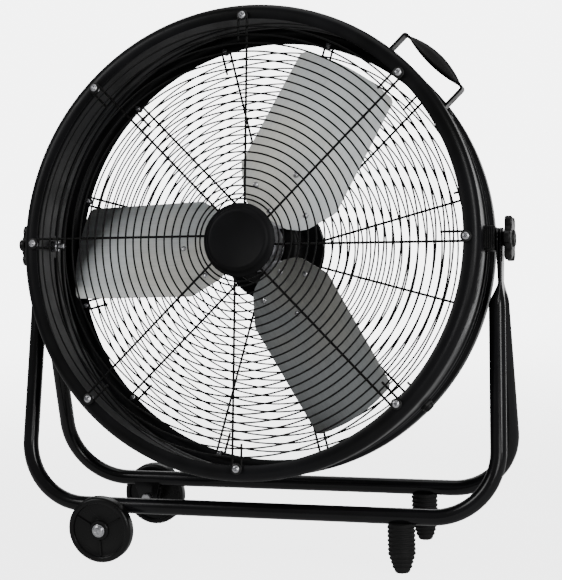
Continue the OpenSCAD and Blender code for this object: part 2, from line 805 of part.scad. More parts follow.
module blade_1() { blade(0); }
module blade_2() { blade(1); }
module blade_3() { blade(2); }

module blade_rivets() {
    color([0.8, 0.8, 0.8]) on_drum() around(3, blade_phase) rivet_places() {
        translate([0, 0, blade_t / 2 + gap]) cylinder(d1 = 9, d2 = 6, h = 1.8);
        translate([0, 0, -blade_t / 2 - 3 - 2 * gap]) cylinder(d = 4, h = blade_t + 3 + 3 * gap);
        translate([0, 0, -blade_t / 2 - 4.8 - 2 * gap]) cylinder(d = 8, h = 1.8);
    }
}

module hub_nut() {
    color([0.8, 0.8, 0.8]) on_drum() translate([0, 0, 4.2]) difference() {
        cylinder(d = 20, h = 8, $fn = 6);
        translate([0, 0, -1]) cylinder(r = shaft_r, h = 12);
    }
}

// Six-lobed clamp knob with a round collar
module tilt_knob(side) {
    color([0.05, 0.05, 0.055]) on_drum() mirror([side < 0 ? 1 : 0, 0, 0])
        translate([tab_outer + 0.3, pivot_rise, 0]) rotate([0, 90, 0]) difference() {
            union() {
                cylinder(r = 11, h = knob_collar);
                translate([0, 0, knob_collar - 0.5]) {
                    cylinder(r = knob_r - 9, h = knob_head);
                    around(6, 0) translate([knob_r - 9, 0, 0]) cylinder(r = 9, h = knob_head);
                    cylinder(r = 12, h = knob_head + 3);
                }
            }
            translate([0, 0, -1]) cylinder(r = 5.06, h = knob_collar + 12);
        }
}

module tilt_knob_left() { tilt_knob(-1); }
module tilt_knob_right() { tilt_knob(1); }

// Pointer knob of the speed switch, with its spindle
module switch_knob() {
    color([0.08, 0.08, 0.08]) on_drum() translate([switch_x, 0, box_back - 2.5]) mirror([0, 0, 1]) {
        translate([0, 0, 0.5]) cylinder(r = 16, h = 4);
        translate([-4, -14, 4]) cube([8, 28, 10]);
        translate([0, 0, -12]) cylinder(r = 3.2, h = 14);
    }
}

front_hoop();
rear_hoop();
wheel_bracket_front();
wheel_bracket_rear();
axle_bolts();
axle_nuts();
axle_washers();
foot_front();
foot_rear();
foot_bolts();
wheel_front();
wheel_rear();
drum_shell();
front_guard_spokes();
front_guard_rings();
front_guard_plate();
front_cap();
front_screws();
front_washers();
front_nuts();
rear_guard_spokes();
rear_guard_rings();
rear_motor_plate();
rear_cover_plate();
rear_screws();
rear_nuts();
motor_housing();
motor_front_bell();
stator_core();
stator_windings();
bearing_front();
bearing_rear();
motor_bolts();
motor_nuts();
switch_box();
switch_box_lid();
switch_body();
run_capacitor();
motor_lead();
lead_gland();
handle_strap();
handle_grip();
handle_bolts();
handle_nuts();
pivot_block_left();
pivot_block_right();
pivot_studs();
pivot_nuts();
motor_shaft();
rotor_core();
fan_hub();
blade_spider();
blade_1();
blade_2();
blade_3();
blade_rivets();
hub_nut();
tilt_knob_left();
tilt_knob_right();
switch_knob();
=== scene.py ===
"""Looks of a drum fan on a wheeled tilt stand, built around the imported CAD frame.

Lengths are in millimetres in the shapes and are turned to metres when a mesh is made.
"""
import json
import math

import bmesh
import bpy
from mathutils import Matrix, Vector


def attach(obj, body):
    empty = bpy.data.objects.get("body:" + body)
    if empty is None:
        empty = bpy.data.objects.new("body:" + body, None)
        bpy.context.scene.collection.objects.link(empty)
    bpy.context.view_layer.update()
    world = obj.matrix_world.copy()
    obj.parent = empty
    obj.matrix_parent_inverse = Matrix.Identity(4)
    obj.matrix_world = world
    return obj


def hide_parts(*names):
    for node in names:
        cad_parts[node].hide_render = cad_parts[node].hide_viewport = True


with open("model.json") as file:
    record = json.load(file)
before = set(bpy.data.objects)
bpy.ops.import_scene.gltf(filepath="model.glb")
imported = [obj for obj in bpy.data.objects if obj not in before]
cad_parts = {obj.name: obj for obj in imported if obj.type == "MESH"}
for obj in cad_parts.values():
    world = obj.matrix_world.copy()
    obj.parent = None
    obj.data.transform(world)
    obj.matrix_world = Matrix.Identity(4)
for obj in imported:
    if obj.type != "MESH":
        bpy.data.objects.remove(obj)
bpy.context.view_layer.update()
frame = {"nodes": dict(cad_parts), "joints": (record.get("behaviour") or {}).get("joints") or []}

# ---------------------------------------------------------------- driving dimensions, mm
MM = 0.001
GAP = 0.05

# Stand
TUBE_R = 12
TAB_T, TAB_W, TAB_OUTER, TAB_GAP = 5, 32, 373.4, 0.1
TAB_FLAT_END, TUBE_START = 60, 99
BASE_HALF, RUN_H = 88, 83
LEG_X_TOP, LEG_X_LOW, BEND_R = 363, 371, 96
WHEEL_R, WHEEL_W, WHEEL_X, WHEEL_CLEAR = 51, 20, 236, 2.5
FOOT_X, FOOT_R = 228, 20.5

# Drum and guards
ROLL_R, BARREL_R, LIP_R, LIP_FRONT, LIP_REAR, SHEET = 353.5, 347, 329.5, 89, 82, 2
BEAD_Z, BEAD_LIFT, BEAD_WIDTH = (-8.5, -32), 2.4, 3.2
SCREW_CIRCLE, SPOKE_D, RING_D, HAIRPIN, RETURN_R = 334, 3.6, 2.6, 6.8, 298
FRONT_SPOKES, REAR_SPOKES, REAR_SPOKE_FIRST = 8, 12, 15
FRONT_SPOKE_IN, REAR_SPOKE_IN = 34, 44
RING_PITCH, RING_FIRST, RING_COUNT = 12.45, 68, 21

# Motor, switch box and lead
MOTOR_R, MOTOR_FRONT, MOTOR_BOLT_R, MOTOR_BOLTS = 57, -27, 44, 4
REAR_PLATE_R, COVER_PLATE_R, PLATE_T = 81, 72, 3
BOX_W, BOX_H, BOX_BACK, BOX_WALL, LID_T = 96, 78, -126, 2, 2.5
SWITCH_X, SWITCH_SIDE = 22, -15.1
LEAD_D, LEAD_Y, LEAD_BEND, LEAD_TURN_Z, LEAD_TOP_Z = 5, -29, 7, -110, -72
GLAND_ANGLE, GLAND_Z = 317, -28

# Handle and tilt pivots
HANDLE_ANGLE, HANDLE_HALF, HANDLE_R, STRAP_W, STRAP_T = 45, 61, 383, 20, 4
PIVOT_RISE, BLOCK_IN, BLOCK_OUT, STUD_IN, STUD_R = 4.5, 345.4, 363, 325, 5
STUD_BEYOND_TAB = 12.4
KNOB_CORE_R, KNOB_LOBE_AT, KNOB_LOBE_R = 26.7, 26.5, 9

# Rotor
BLADE_R, BLADE_HALF, BLADE_T, BLADE_PITCH, BLADE_PHASE = 301.5, 79, 1.6, 21, 61.5
BLADE_ROOT_X, BLADE_ROOT_HALF = 42, 26
BLADE_NECK_X, BLADE_NECK_HALF = 52, 52
BLADE_WIDE_X, BLADE_WIDE_HALF = 99, BLADE_HALF + 3
BLADE_CORNER = 4.5
SPIDER_T = 3
RIVETS = [(54, 10), (122, 0), (80, 47), (74, -42)]

# ---------------------------------------------------------------- places, from the frame
joints = {j["name"]: j for j in frame["joints"]}
tilt_axis = Vector(joints["drum_tilt"]["pos_m"])
drum_centre = Vector(joints["fan_spin"]["pos_m"])
outlet = Vector(joints["fan_spin"]["axis"]).normalized()
side = Vector((1, 0, 0))


def axes_matrix(origin, x, y, z):
    """Matrix whose columns are the three axes, at origin."""
    m = Matrix((x, y, z)).transposed().to_4x4()
    m.translation = origin
    return m


def turn(degrees, axis="Z"):
    return Matrix.Rotation(math.radians(degrees), 4, axis)


def shift(x=0.0, y=0.0, z=0.0):
    return Matrix.Translation((x * MM, y * MM, z * MM))


DRUM = axes_matrix(drum_centre, side, outlet.cross(side), outlet)
BOX_LID_Z = BOX_BACK - GAP


# ---------------------------------------------------------------- shapes
class Shape:
    """Vertices and faces of one piece, in millimetres."""

    def __init__(self):
        self.verts = []
        self.faces = []

    def add(self, verts, faces, place=None):
        """Adds vertices in mm, moved by a matrix whose translation is in metres."""
        start = len(self.verts)
        for v in verts:
            p = Vector(v) * MM
            self.verts.append(place @ p if place else p)
        self.faces += [[start + i for i in f] for f in faces]

    def loft(self, rings, place=None, closed=False, caps=True):
        """Joins rings that have the same number of points."""
        n = len(rings[0])
        count = len(rings)
        verts = [p for ring in rings for p in ring]
        faces = []
        for i in range(count if closed else count - 1):
            a, b = i * n, ((i + 1) % count) * n
            faces += [[a + k, a + (k + 1) % n, b + (k + 1) % n, b + k] for k in range(n)]
        if caps and not closed:
            faces += [list(range(n))[::-1], [(count - 1) * n + k for k in range(n)]]
        self.add(verts, faces, place)

    def revolve(self, profile, place=None, segments=64, closed=True):
        """Turns (radius, height) points about the z axis."""
        rings = []
        for r, z in profile:
            angles = [2 * math.pi * k / segments for k in range(segments)]
            rings.append([(r * math.cos(a), r * math.sin(a), z) for a in angles])
        self.loft(rings, place, closed=closed, caps=False)

    def spin(self, profile, place=None, segments=64):
        """Solid of revolution whose profile starts and ends on the axis."""
        self.revolve(profile, place, segments, closed=False)

    def tube(self, path, radius, place=None, sides=10, round_end=True):
        """Round wire along a path, with small domed ends."""
        rings = []
        points = [Vector(p) for p in path]
        last = len(points) - 1
        normal = None
        for i, p in enumerate(points):
            ahead = (points[min(i + 1, last)] - points[max(i - 1, 0)]).normalized()
            if normal is None:
                helper = Vector((0, 0, 1)) if abs(ahead.z) < 0.9 else Vector((1, 0, 0))
                normal = helper.cross(ahead).normalized()
            normal = (normal - ahead * normal.dot(ahead)).normalized()
            across = ahead.cross(normal)
            ends = {0: -1, last: 1} if round_end else {}
            steps = [(0, 1)]
            if i in ends:
                steps = [(0.45, 0.6), (0.3, 0.86), (0, 1)]
                steps = steps if ends[i] < 0 else steps[::-1]
            for out, share in steps:
                centre = p + ahead * (ends.get(i, 0) * out * radius)
                rings.append([
                    centre + (normal * math.cos(a) + across * math.sin(a)) * radius * share
                    for a in [2 * math.pi * k / sides for k in range(sides)]
                ])
        self.loft(rings, place)

    def prism(self, outline, low, high, place=None, edge=0.0):
        """Outline of (x, y) points from low to high, with its edges eased by edge."""
        if not edge:
            self.loft([[(x, y, z) for x, y in outline] for z in (low, high)], place)
            return
        steps = [(0, 1.0), (0.3, 0.3), (1, 0)]
        levels = [(low + edge * a, edge * b) for a, b in steps]
        levels += [(high - edge * a, edge * b) for a, b in steps[::-1]]
        rings = [[(x, y, z) for x, y in inset(outline, d)] for z, d in levels]
        self.loft(rings, place)

    def piece(self, name, body, material, slot, replaces=(), place=None, sharp=38, bevel=0.0):
        """Makes the Blender object and ties it to its body and CAD nodes."""
        mesh = bpy.data.meshes.new(name)
        mesh.from_pydata(self.verts, [], self.faces)
        bm = bmesh.new()
        bm.from_mesh(mesh)
        bmesh.ops.remove_doubles(bm, verts=bm.verts, dist=1e-6)
        bmesh.ops.dissolve_degenerate(bm, edges=bm.edges, dist=1e-7)
        bmesh.ops.recalc_face_normals(bm, faces=bm.faces)
        for f in bm.faces:
            f.smooth = True
        limit = math.radians(sharp)
        for e in bm.edges:
            e.smooth = len(e.link_faces) == 2 and e.calc_face_angle(0) < limit
        bm.to_mesh(mesh)
        bm.free()
        mesh.materials.append(material)
        obj = bpy.data.objects.new(name, mesh)
        bpy.context.scene.collection.objects.link(obj)
        if place:
            obj.matrix_world = place
        if bevel:
            ease = obj.modifiers.new("ease", "BEVEL")
            ease.width = bevel * MM
            ease.segments = 2
            ease.limit_method = "ANGLE"
            ease.angle_limit = math.radians(50)
        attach(obj, body)
        if replaces:
            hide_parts(*replaces)
        return obj


def arc(cx, cy, r, start, end, steps=8):
    """Points on an arc, in degrees."""
    angles = [math.radians(start + (end - start) * i / steps) for i in range(steps + 1)]
    return [(cx + r * math.cos(a), cy + r * math.sin(a)) for a in angles]


def inset(outline, distance):
    """Moves each point of a counter-clockwise outline inward."""
    if not distance:
        return list(outline)
    n = len(outline)
    moved = []
    for i, p in enumerate(outline):
        before = Vector(outline[i - 1])
        here = Vector(p)
        after = Vector(outline[(i + 1) % n])
        along = ((here - before).normalized() + (after - here).normalized()).normalized()
        moved.append((here.x - along.y * distance, here.y + along.x * distance))
    return moved


def rounded(points, radius, steps=5):
    """Outline with every corner replaced by an arc."""
    made = []
    n = len(points)
    for i, p in enumerate(points):
        here = Vector(p)
        back = Vector(points[i - 1]) - here
        ahead = Vector(points[(i + 1) % n]) - here
        reach = min(radius, back.length * 0.45, ahead.length * 0.45)
        a = here + back.normalized() * reach
        b = here + ahead.normalized() * reach
        for k in range(steps + 1):
            t = k / steps
            q = a * (1 - t) ** 2 + here * (2 * t * (1 - t)) + b * t ** 2
            made.append((q.x, q.y))
    return made


def box_outline(w, h, radius):
    return rounded([(-w / 2, -h / 2), (w / 2, -h / 2), (w / 2, h / 2), (-w / 2, h / 2)], radius)


def ease(t):
    t = max(0.0, min(1.0, t))
    return t * t * (3 - 2 * t)


def around(count, first=0.0):
    return [turn(first + 360 * i / count) for i in range(count)]


# ---------------------------------------------------------------- materials
class Surface:
    """A Principled material with helpers for its procedural nodes."""

    def __init__(self, name, metallic, roughness, coat=0.0, specular=0.5):
        self.material = bpy.data.materials.new(name)
        self.material.use_nodes = True
        self.tree = self.material.node_tree
        self.shader = self.tree.nodes["Principled BSDF"]
        self.shader.inputs["Metallic"].default_value = metallic
        self.shader.inputs["Roughness"].default_value = roughness
        self.shader.inputs["Coat Weight"].default_value = coat
        self.shader.inputs["Coat Roughness"].default_value = 0.12
        self.shader.inputs["Specular IOR Level"].default_value = specular
        self.coordinates = self.tree.nodes.new("ShaderNodeTexCoord").outputs["Object"]

    def noise(self, scale, detail=3.0, stretch=(1, 1, 1), roughness=0.5):
        """Factor of a noise texture in object coordinates."""
        mapping = self.tree.nodes.new("ShaderNodeMapping")
        mapping.inputs["Scale"].default_value = stretch
        texture = self.tree.nodes.new("ShaderNodeTexNoise")
        texture.inputs["Scale"].default_value = scale
        texture.inputs["Detail"].default_value = detail
        texture.inputs["Roughness"].default_value = roughness
        self.tree.links.new(self.coordinates, mapping.inputs["Vector"])
        self.tree.links.new(mapping.outputs["Vector"], texture.inputs["Vector"])
        return texture.outputs["Fac"]

    def ramp(self, factor, low, high, start=0.35, end=0.65):
        """Colour between low and high as the factor goes from start to end."""
        ramp = self.tree.nodes.new("ShaderNodeValToRGB")
        ramp.color_ramp.elements[0].position = start
        ramp.color_ramp.elements[1].position = end
        ramp.color_ramp.elements[0].color = (*low, 1)
        ramp.color_ramp.elements[1].color = (*high, 1)
        self.tree.links.new(factor, ramp.inputs["Fac"])
        return ramp.outputs["Color"]

    def colour(self, output):
        self.tree.links.new(output, self.shader.inputs["Base Color"])

    def roughness(self, factor, low, high):
        remap = self.tree.nodes.new("ShaderNodeMapRange")
        remap.inputs["From Min"].default_value = 0.3
        remap.inputs["From Max"].default_value = 0.7
        remap.inputs["To Min"].default_value = low
        remap.inputs["To Max"].default_value = high
        self.tree.links.new(factor, remap.inputs["Value"])
        self.tree.links.new(remap.outputs["Result"], self.shader.inputs["Roughness"])

    def bump(self, factor, strength, depth):
        bump = self.tree.nodes.new("ShaderNodeBump")
        bump.inputs["Strength"].default_value = strength
        bump.inputs["Distance"].default_value = depth
        self.tree.links.new(factor, bump.inputs["Height"])
        self.tree.links.new(bump.outputs["Normal"], self.shader.inputs["Normal"])


def coated(name, low, high, gloss, peel=0.12, coat=0.0, grain=900, specular=0.5):
    """Paint or moulded plastic: soft colour drift, uneven gloss and fine grain."""
    s = Surface(name, 0.0, sum(gloss) / 2, coat, specular)
    s.colour(s.ramp(s.noise(9, 4), low, high))
    s.roughness(s.noise(26, 5), *gloss)
    s.bump(s.noise(grain, 2), peel, 0.0004)
    return s.material


def metal(name, low, high, gloss, stretch=(1, 1, 1), scale=120, peel=0.05):
    """Bare or plated metal with drawn or brushed streaks along the unstretched axis."""
    s = Surface(name, 1.0, sum(gloss) / 2)
    streaks = s.noise(scale, 5, stretch, 0.62)
    s.colour(s.ramp(streaks, low, high, 0.25, 0.75))
    s.roughness(streaks, *gloss)
    s.bump(streaks, peel, 0.0002)
    return s.material


def rolled_sheet(name):
    """Mill finish aluminium: fine rolling streaks over a slow warm to cool drift."""
    s = Surface(name, 1.0, 0.37)
    streaks = s.noise(420, 5, (0.06, 1, 1), 0.62)
    fine = s.ramp(streaks, (0.78, 0.78, 0.78), (1, 1, 1), 0.25, 0.75)
    drift = s.ramp(s.noise(6, 2), (0.595, 0.59, 0.55), (0.535, 0.56, 0.565), 0.42, 0.58)
    mix = s.tree.nodes.new("ShaderNodeMix")
    mix.data_type = "RGBA"
    mix.blend_type = "MULTIPLY"
    mix.inputs["Factor"].default_value = 1
    s.tree.links.new(drift, mix.inputs["A"])
    s.tree.links.new(fine, mix.inputs["B"])
    s.colour(mix.outputs["Result"])
    s.roughness(streaks, 0.30, 0.44)
    s.bump(streaks, 0.10, 0.0002)
    return s.material


def grey(v, tint=0.0):
    return (v, v, v + tint)


tube_paint = coated("tube_paint", grey(0.003), grey(0.007, 0.001), (0.16, 0.26), 0.08, 0.12,
                    specular=0.2)
drum_paint = coated("drum_paint", grey(0.003), grey(0.007, 0.001), (0.28, 0.38), specular=0.14)
wire_paint = coated("wire_paint", grey(0.003), grey(0.006), (0.32, 0.46), 0.10, specular=0.12)
cap_paint = coated("cap_paint", grey(0.004), grey(0.007, 0.001), (0.42, 0.54), 0.16, specular=0.1)
motor_paint = coated("motor_paint", grey(0.005), grey(0.010), (0.34, 0.5), 0.18, specular=0.2)
plastic = coated("plastic", grey(0.005), grey(0.010), (0.32, 0.46), 0.3, grain=1500, specular=0.22)
grip_plastic = coated("grip_plastic", grey(0.006), grey(0.016), (0.34, 0.5), 0.5, grain=1300,
                      specular=0.3)
wheel_plastic = coated("wheel_plastic", grey(0.004), grey(0.009), (0.2, 0.32), 0.12, specular=0.2)
rubber = coated("rubber", grey(0.006), grey(0.013), (0.5, 0.68), 0.35, grain=1100, specular=0.15)
sheath = coated("sheath", grey(0.006), grey(0.012), (0.4, 0.55), 0.2, specular=0.2)
black_oxide = coated("black_oxide", grey(0.006), grey(0.014), (0.3, 0.45), 0.2, specular=0.25)
blade_metal = rolled_sheet("blade_metal")
zinc = metal("zinc", (0.46, 0.46, 0.48), (0.66, 0.66, 0.68), (0.22, 0.36), scale=260)
steel = metal("steel", (0.42, 0.42, 0.44), (0.60, 0.60, 0.62), (0.24, 0.38), (1, 1, 8), 180)
laminations = metal("laminations", (0.16, 0.16, 0.18), (0.34, 0.35, 0.37), (0.35, 0.55),
                    (0.05, 0.05, 14), 160)
copper = metal("copper", (0.42, 0.16, 0.06), (0.70, 0.32, 0.14), (0.25, 0.42), (1, 1, 6), 400, 0.3)
can_metal = metal("can_metal", (0.55, 0.55, 0.56), (0.72, 0.72, 0.73), (0.25, 0.4), (1, 6, 1), 160)
mark_paint = coated("mark_paint", grey(0.55), grey(0.66), (0.4, 0.55), 0.1)


# ---------------------------------------------------------------- stand
run_drop = tilt_axis.z / MM - RUN_H
HOOP_LEN = math.hypot(run_drop, BASE_HALF)
HOOP_LEAN = math.degrees(math.atan2(BASE_HALF, run_drop))
LEG_LEAN = math.atan2(LEG_X_LOW - LEG_X_TOP, HOOP_LEN)
BEND_Z = HOOP_LEN - BEND_R
BEND_X = LEG_X_TOP + (LEG_X_LOW - LEG_X_TOP) * BEND_Z / HOOP_LEN - BEND_R / math.cos(LEG_LEAN)


def hoop_section(centre, along, flat, half_x, half_y, sides=40):
    """Ring round centre, from a circle (flat = 0) to a pressed strip (flat = 1)."""
    across = Vector((along.z, 0, -along.x))
    power = 1 - 0.55 * flat
    ring = []
    for k in range(sides):
        a = 2 * math.pi * k / sides
        c, s = math.cos(a), math.sin(a)
        u = math.copysign(abs(c) ** power, c) * half_x
        v = math.copysign(abs(s) ** power, s) * half_y
        ring.append(centre + across * u + Vector((0, v, 0)))
    return ring


def leg_rings(x_in):
    """Sections from the rounded end of the tab down to the start of the bend."""
    middle = x_in + TAB_T / 2
    down = Vector((0, 0, -1))
    rings = []
    for i in range(9):
        a = math.radians(89 - 89 * i / 8)
        centre = Vector((middle, 0, TAB_W / 2 * math.sin(a)))
        rings.append(hoop_section(centre, down, 1, TAB_T / 2, TAB_W / 2 * math.cos(a)))
    leg_end = BEND_Z - BEND_R * math.sin(LEG_LEAN)
    depths = [20, 45, TAB_FLAT_END]
    depths += [TAB_FLAT_END + (TUBE_START - TAB_FLAT_END) * k / 12 for k in range(1, 13)]
    depths += [130, 180, leg_end]
    for depth in depths:
        t = ease((depth - TAB_FLAT_END) / (TUBE_START - TAB_FLAT_END))
        leg_x = LEG_X_TOP + depth * math.tan(LEG_LEAN)
        centre = Vector((middle + (leg_x - middle) * t, 0, -depth))
        half_x = TAB_T / 2 + (TUBE_R - TAB_T / 2) * t
        half_y = TAB_W / 2 + (TUBE_R - TAB_W / 2) * t
        rings.append(hoop_section(centre, down, 1 - t, half_x, half_y))
    return rings


def hoop_rings(x_in):
    """Sections of one whole hoop, from the right tab round to the left tab."""
    right = leg_rings(x_in)
    start = math.degrees(LEG_LEAN)
    steps = 22
    for i in range(1, steps + 1):
        a = math.radians(start - (start + 90) * i / steps)
        centre = Vector((BEND_X + BEND_R * math.cos(a), 0, -BEND_Z + BEND_R * math.sin(a)))
        along = Vector((math.sin(a), 0, -math.cos(a)))
        right.append(hoop_section(centre, along, 0, TUBE_R, TUBE_R))
    left = [[Vector((-p.x, p.y, p.z)) for p in ring] for ring in right]
    return right + left[::-1]


def make_hoop(name, lean, x_in):
    shape = Shape()
    shape.loft(hoop_rings(x_in))
    place = Matrix.Translation(tilt_axis) @ turn(lean, "X")
    shape.piece(name + "_tube", "stand", tube_paint, "black_tube", [name], place)


def make_wheel_bracket(name, direction):
    """Pressed channel: two cheeks and a bridge under the run."""
    cheek_out, cheek_in, thick = BASE_HALF + 11, BASE_HALF - 11, 4
    outline = arc(0, WHEEL_R, 15, 180, 360, 12) + [(24, RUN_H), (-24, RUN_H)]
    shape = Shape()
    stand_up = turn(90, "X")
    for y in (cheek_in, cheek_out - thick):
        shape.prism(outline, y, y + thick, stand_up, 0.8)
    bridge = box_outline(44, cheek_out - cheek_in - 2 * thick - 0.4, 1)
    shape.prism(bridge, 66, 70, shift(0, -BASE_HALF, 0), 0.5)
    flip = Matrix.Identity(4) if direction < 0 else Matrix.Scale(-1, 4, (0, 1, 0))
    place = Matrix.Translation((-WHEEL_X * MM, tilt_axis.y, 0)) @ flip
    # moved here, because a mirroring matrix on the object would turn its faces inside out
    shape.verts = [place @ v for v in shape.verts]
    shape.piece(name + "_channel", "stand", tube_paint, "black_tube", [name])


def wheel_profile():
    r, w = WHEEL_R, WHEEL_W
    profile = [(5.2, 0), (15, 0), (15.6, 0.8), (16, 4), (r - 9, 4), (r - 8, 0.8), (r - 6, 0)]
    profile += arc(r - 5, 5, 5, -90, 0)
    profile += arc(r - 5, w - 5, 5, 0, 90)
    profile += [(r - 7.4, w), (r - 8.6, w - 0.8), (r - 9.6, w - 4.5), (r - 11, w - 5.2)]
    profile += [(17.5, w - 5.2), (16, w - 4.6), (15.2, w - 0.9), (14.4, w - 0.2), (5.2, w - 0.2)]
    return profile


def make_wheel(name, direction):
    shape = Shape()
    shape.revolve(wheel_profile(), segments=128)
    rib = box_outline(24.5, 2.4, 0.8)
    for turned in around(3, 270):
        shape.prism(rib, WHEEL_W - 7, WHEEL_W - 2.4, turned @ shift(28.6, 0, 0), 0.7)
    inner = tilt_axis.y + direction * (BASE_HALF + TUBE_R + WHEEL_CLEAR) * MM
    place = Matrix.Translation((-WHEEL_X * MM, inner, WHEEL_R * MM)) @ turn(-direction * 90, "X")
    shape.piece(name + "_moulding", name, wheel_plastic, "wheel_plastic", [name], place)


def head_heights(profile, recess_r, recess_w, depth, sides=56):
    """Rings of a screw head whose middle has a cross pressed into it."""
    rings = []
    for r, z in profile:
        ring = []
        for k in range(sides):
            a = 2 * math.pi * k / sides
            x, y = r * math.cos(a), r * math.sin(a)
            inside = min(abs(x), abs(y)) < recess_w and max(abs(x), abs(y)) < recess_r
            ring.append((x, y, z - (depth if inside else 0)))
        rings.append(ring)
    return rings


def pan_head(radius, height, recess=0.45):
    """Profile of a domed head from its rim to its middle."""
    rim = height * 0.30
    profile = [(radius, 0), (radius, rim)]
    for a in (math.radians(degrees) for degrees in range(12, 84, 9)):
        profile.append((radius * math.cos(a), height * (0.30 + 0.70 * math.sin(a))))
    steps = 7
    inner = [(radius * recess * 1.02 * (1 - i / steps), height) for i in range(steps)]
    return [p for p in profile if p[0] > inner[0][0]] + inner + [(0.01, height)]


def add_screw(shape, place, radius, height, shank_r, shank):
    """Cross recessed pan head above place, with a shank below it."""
    rings = head_heights(pan_head(radius, height), radius * 0.46, radius * 0.11, height * 0.4)
    shape.loft([[(x * 0.9, y * 0.9, z) for x, y, z in rings[0]]] + rings, place)
    if shank:
        tip = -shank - 1
        profile = [(0, 0), (shank_r, 0), (shank_r, -shank), (shank_r * 0.7, tip), (0, tip)]
        shape.spin(profile, place, 20)


def add_nut(shape, place, across, height, bore):
    """Chamfered hexagon on place, with the end of its bolt showing in the middle."""
    hexagon = arc(0, 0, across / 2, 0, 300, 5)
    top = [(x * 0.9, y * 0.9, height) for x, y in hexagon]
    upper = [(x, y, height - across * 0.05) for x, y in hexagon]
    lower = [(x, y, across * 0.05) for x, y in hexagon]
    base = [(x * 0.9, y * 0.9, 0) for x, y in hexagon]
    shape.loft([base, lower, upper, top], place)
    low, edge, high = height - 1, height + 0.6, height + 0.9
    shape.spin([(0, low), (bore, low), (bore, edge), (bore * 0.8, high), (0, high)], place, 20)


def make_axles():
    bolts, nuts, washers = Shape(), Shape(), Shape()
    for direction in (-1, 1):
        def at(distance):
            y = tilt_axis.y + direction * distance * MM
            spot = Matrix.Translation((-WHEEL_X * MM, y, WHEEL_R * MM))
            return spot @ turn(-direction * 90, "X")
        outside = BASE_HALF + TUBE_R + WHEEL_CLEAR + WHEEL_W + 0.4
        flange = [(0, 0), (9.6, 0), (10, 0.5), (10, 1.5), (9.4, 2), (0, 2)]
        bolts.spin(flange, at(outside), 48)
        add_screw(bolts, at(outside + 2) @ turn(20), 8.4, 3.4, 5, 0)
        bolts.spin([(0, 0), (5, 0), (5, -53), (4.2, -54), (0, -54)], at(outside), 32)
        add_nut(nuts, at(BASE_HALF - TUBE_R + 1 - 9.1), 18, 8.6, 5.1)
        inner = BASE_HALF + TUBE_R - 0.9
        washer = [(5.1, 0), (10.6, 0), (11, 0.4), (11, 2.6), (10.6, 3), (5.1, 3)]
        washers.revolve(washer, at(inner), 40)
    bolts.piece("axle_bolt_pair", "stand", zinc, "bright_zinc", ["axle_bolts"])
    nuts.piece("axle_nut_pair", "stand", zinc, "bright_zinc", ["axle_nuts"])
    washers.piece("axle_washer_pair", "stand", zinc, "bright_zinc", ["axle_washers"])


def foot_profile():
    """Rounded ribs a fixed pitch apart on a plug that tapers to its toe."""
    top, taper, pitch, toe, depth = 74, 28, 6.6, 10.7, 1.6
    profile = [(6.2, 18), (6.2, 0), (toe - 0.8, 0), (toe, 0.8)]
    steps = 180
    for i in range(3, steps + 1):
        z = top * i / steps
        core = toe + (FOOT_R - depth - toe) * min(1, z / taper)
        rib = max(0.0, math.sin(2 * math.pi * (z / pitch - 0.95))) ** 0.5
        profile.append((core + (depth * rib if 4 < z < top - 3 else 0), z))
    return profile + [(8, top), (3.2, top), (3.2, 18)]


def make_foot(name, direction):
    shape = Shape()
    shape.revolve(foot_profile(), segments=64)
    y = tilt_axis.y + direction * BASE_HALF * MM
    place = Matrix.Translation((FOOT_X * MM, y, 0))
    shape.piece(name + "_rubber", "stand", rubber, "foot_rubber", [name], place, sharp=60)


# ---------------------------------------------------------------- drum
def bead(z):
    """How far a pressed bead lifts the barrel at height z."""
    return sum(BEAD_LIFT * math.exp(-((z - centre) / BEAD_WIDTH) ** 2) for centre in BEAD_Z)


def shell_profile():
    """Wall of the drum: rolled end rings, a step to the barrel and two beads."""
    roll, ring_len, step = 13.5, 31, 9
    outer = [(LIP_R + 0.6, LIP_FRONT)]
    outer += arc(ROLL_R - roll, LIP_FRONT - roll, roll, 90, 0, 16)
    top, low = LIP_FRONT - ring_len, LIP_FRONT - ring_len - step
    drop = ROLL_R - BARREL_R
    outer += [(ROLL_R - drop * ease(i / 8), top - step * i / 8) for i in range(9)]
    rear_top = -LIP_REAR + ring_len + step
    count = 60
    for i in range(1, count):
        z = low + (rear_top - low) * i / count
        outer.append((BARREL_R + bead(z), z))
    outer += [(BARREL_R + drop * ease(i / 8), rear_top - step * i / 8) for i in range(9)]
    outer += arc(ROLL_R - roll, -LIP_REAR + roll, roll, 0, -90, 16)
    outer.append((LIP_R + 0.6, -LIP_REAR))
    hem = [(LIP_R, -LIP_REAR + 0.5), (LIP_R, -LIP_REAR + SHEET - 0.5)]
    inner = []
    for i in range(1, len(outer) - 1):
        before, after = Vector(outer[i - 1]), Vector(outer[i + 1])
        along = (after - before).normalized()
        inner.append((outer[i][0] + along.y * SHEET, outer[i][1] - along.x * SHEET))
    inner = [(LIP_R + 0.6, LIP_FRONT - SHEET)] + inner + [(LIP_R + 0.6, -LIP_REAR + SHEET)]
    front_hem = [(LIP_R, LIP_FRONT - SHEET + 0.5), (LIP_R, LIP_FRONT - 0.5)]
    return outer + hem + inner[::-1] + front_hem


def make_shell():
    shape = Shape()
    shape.revolve(shell_profile(), segments=288)
    shape.piece("drum_barrel", "drum", drum_paint, "black_drum", ["drum_shell"], DRUM, sharp=60)


def hairpin_path(inner_r):
    """Spoke out to its screw, round it and part of the way back."""
    points = [(inner_r, -HAIRPIN, 0), (SCREW_CIRCLE, -HAIRPIN, 0)]
    points += [(x, y, 0) for x, y in arc(SCREW_CIRCLE, 0, HAIRPIN, -90, 90, 16)[1:]]
    return points + [(RETURN_R, HAIRPIN, 0)]


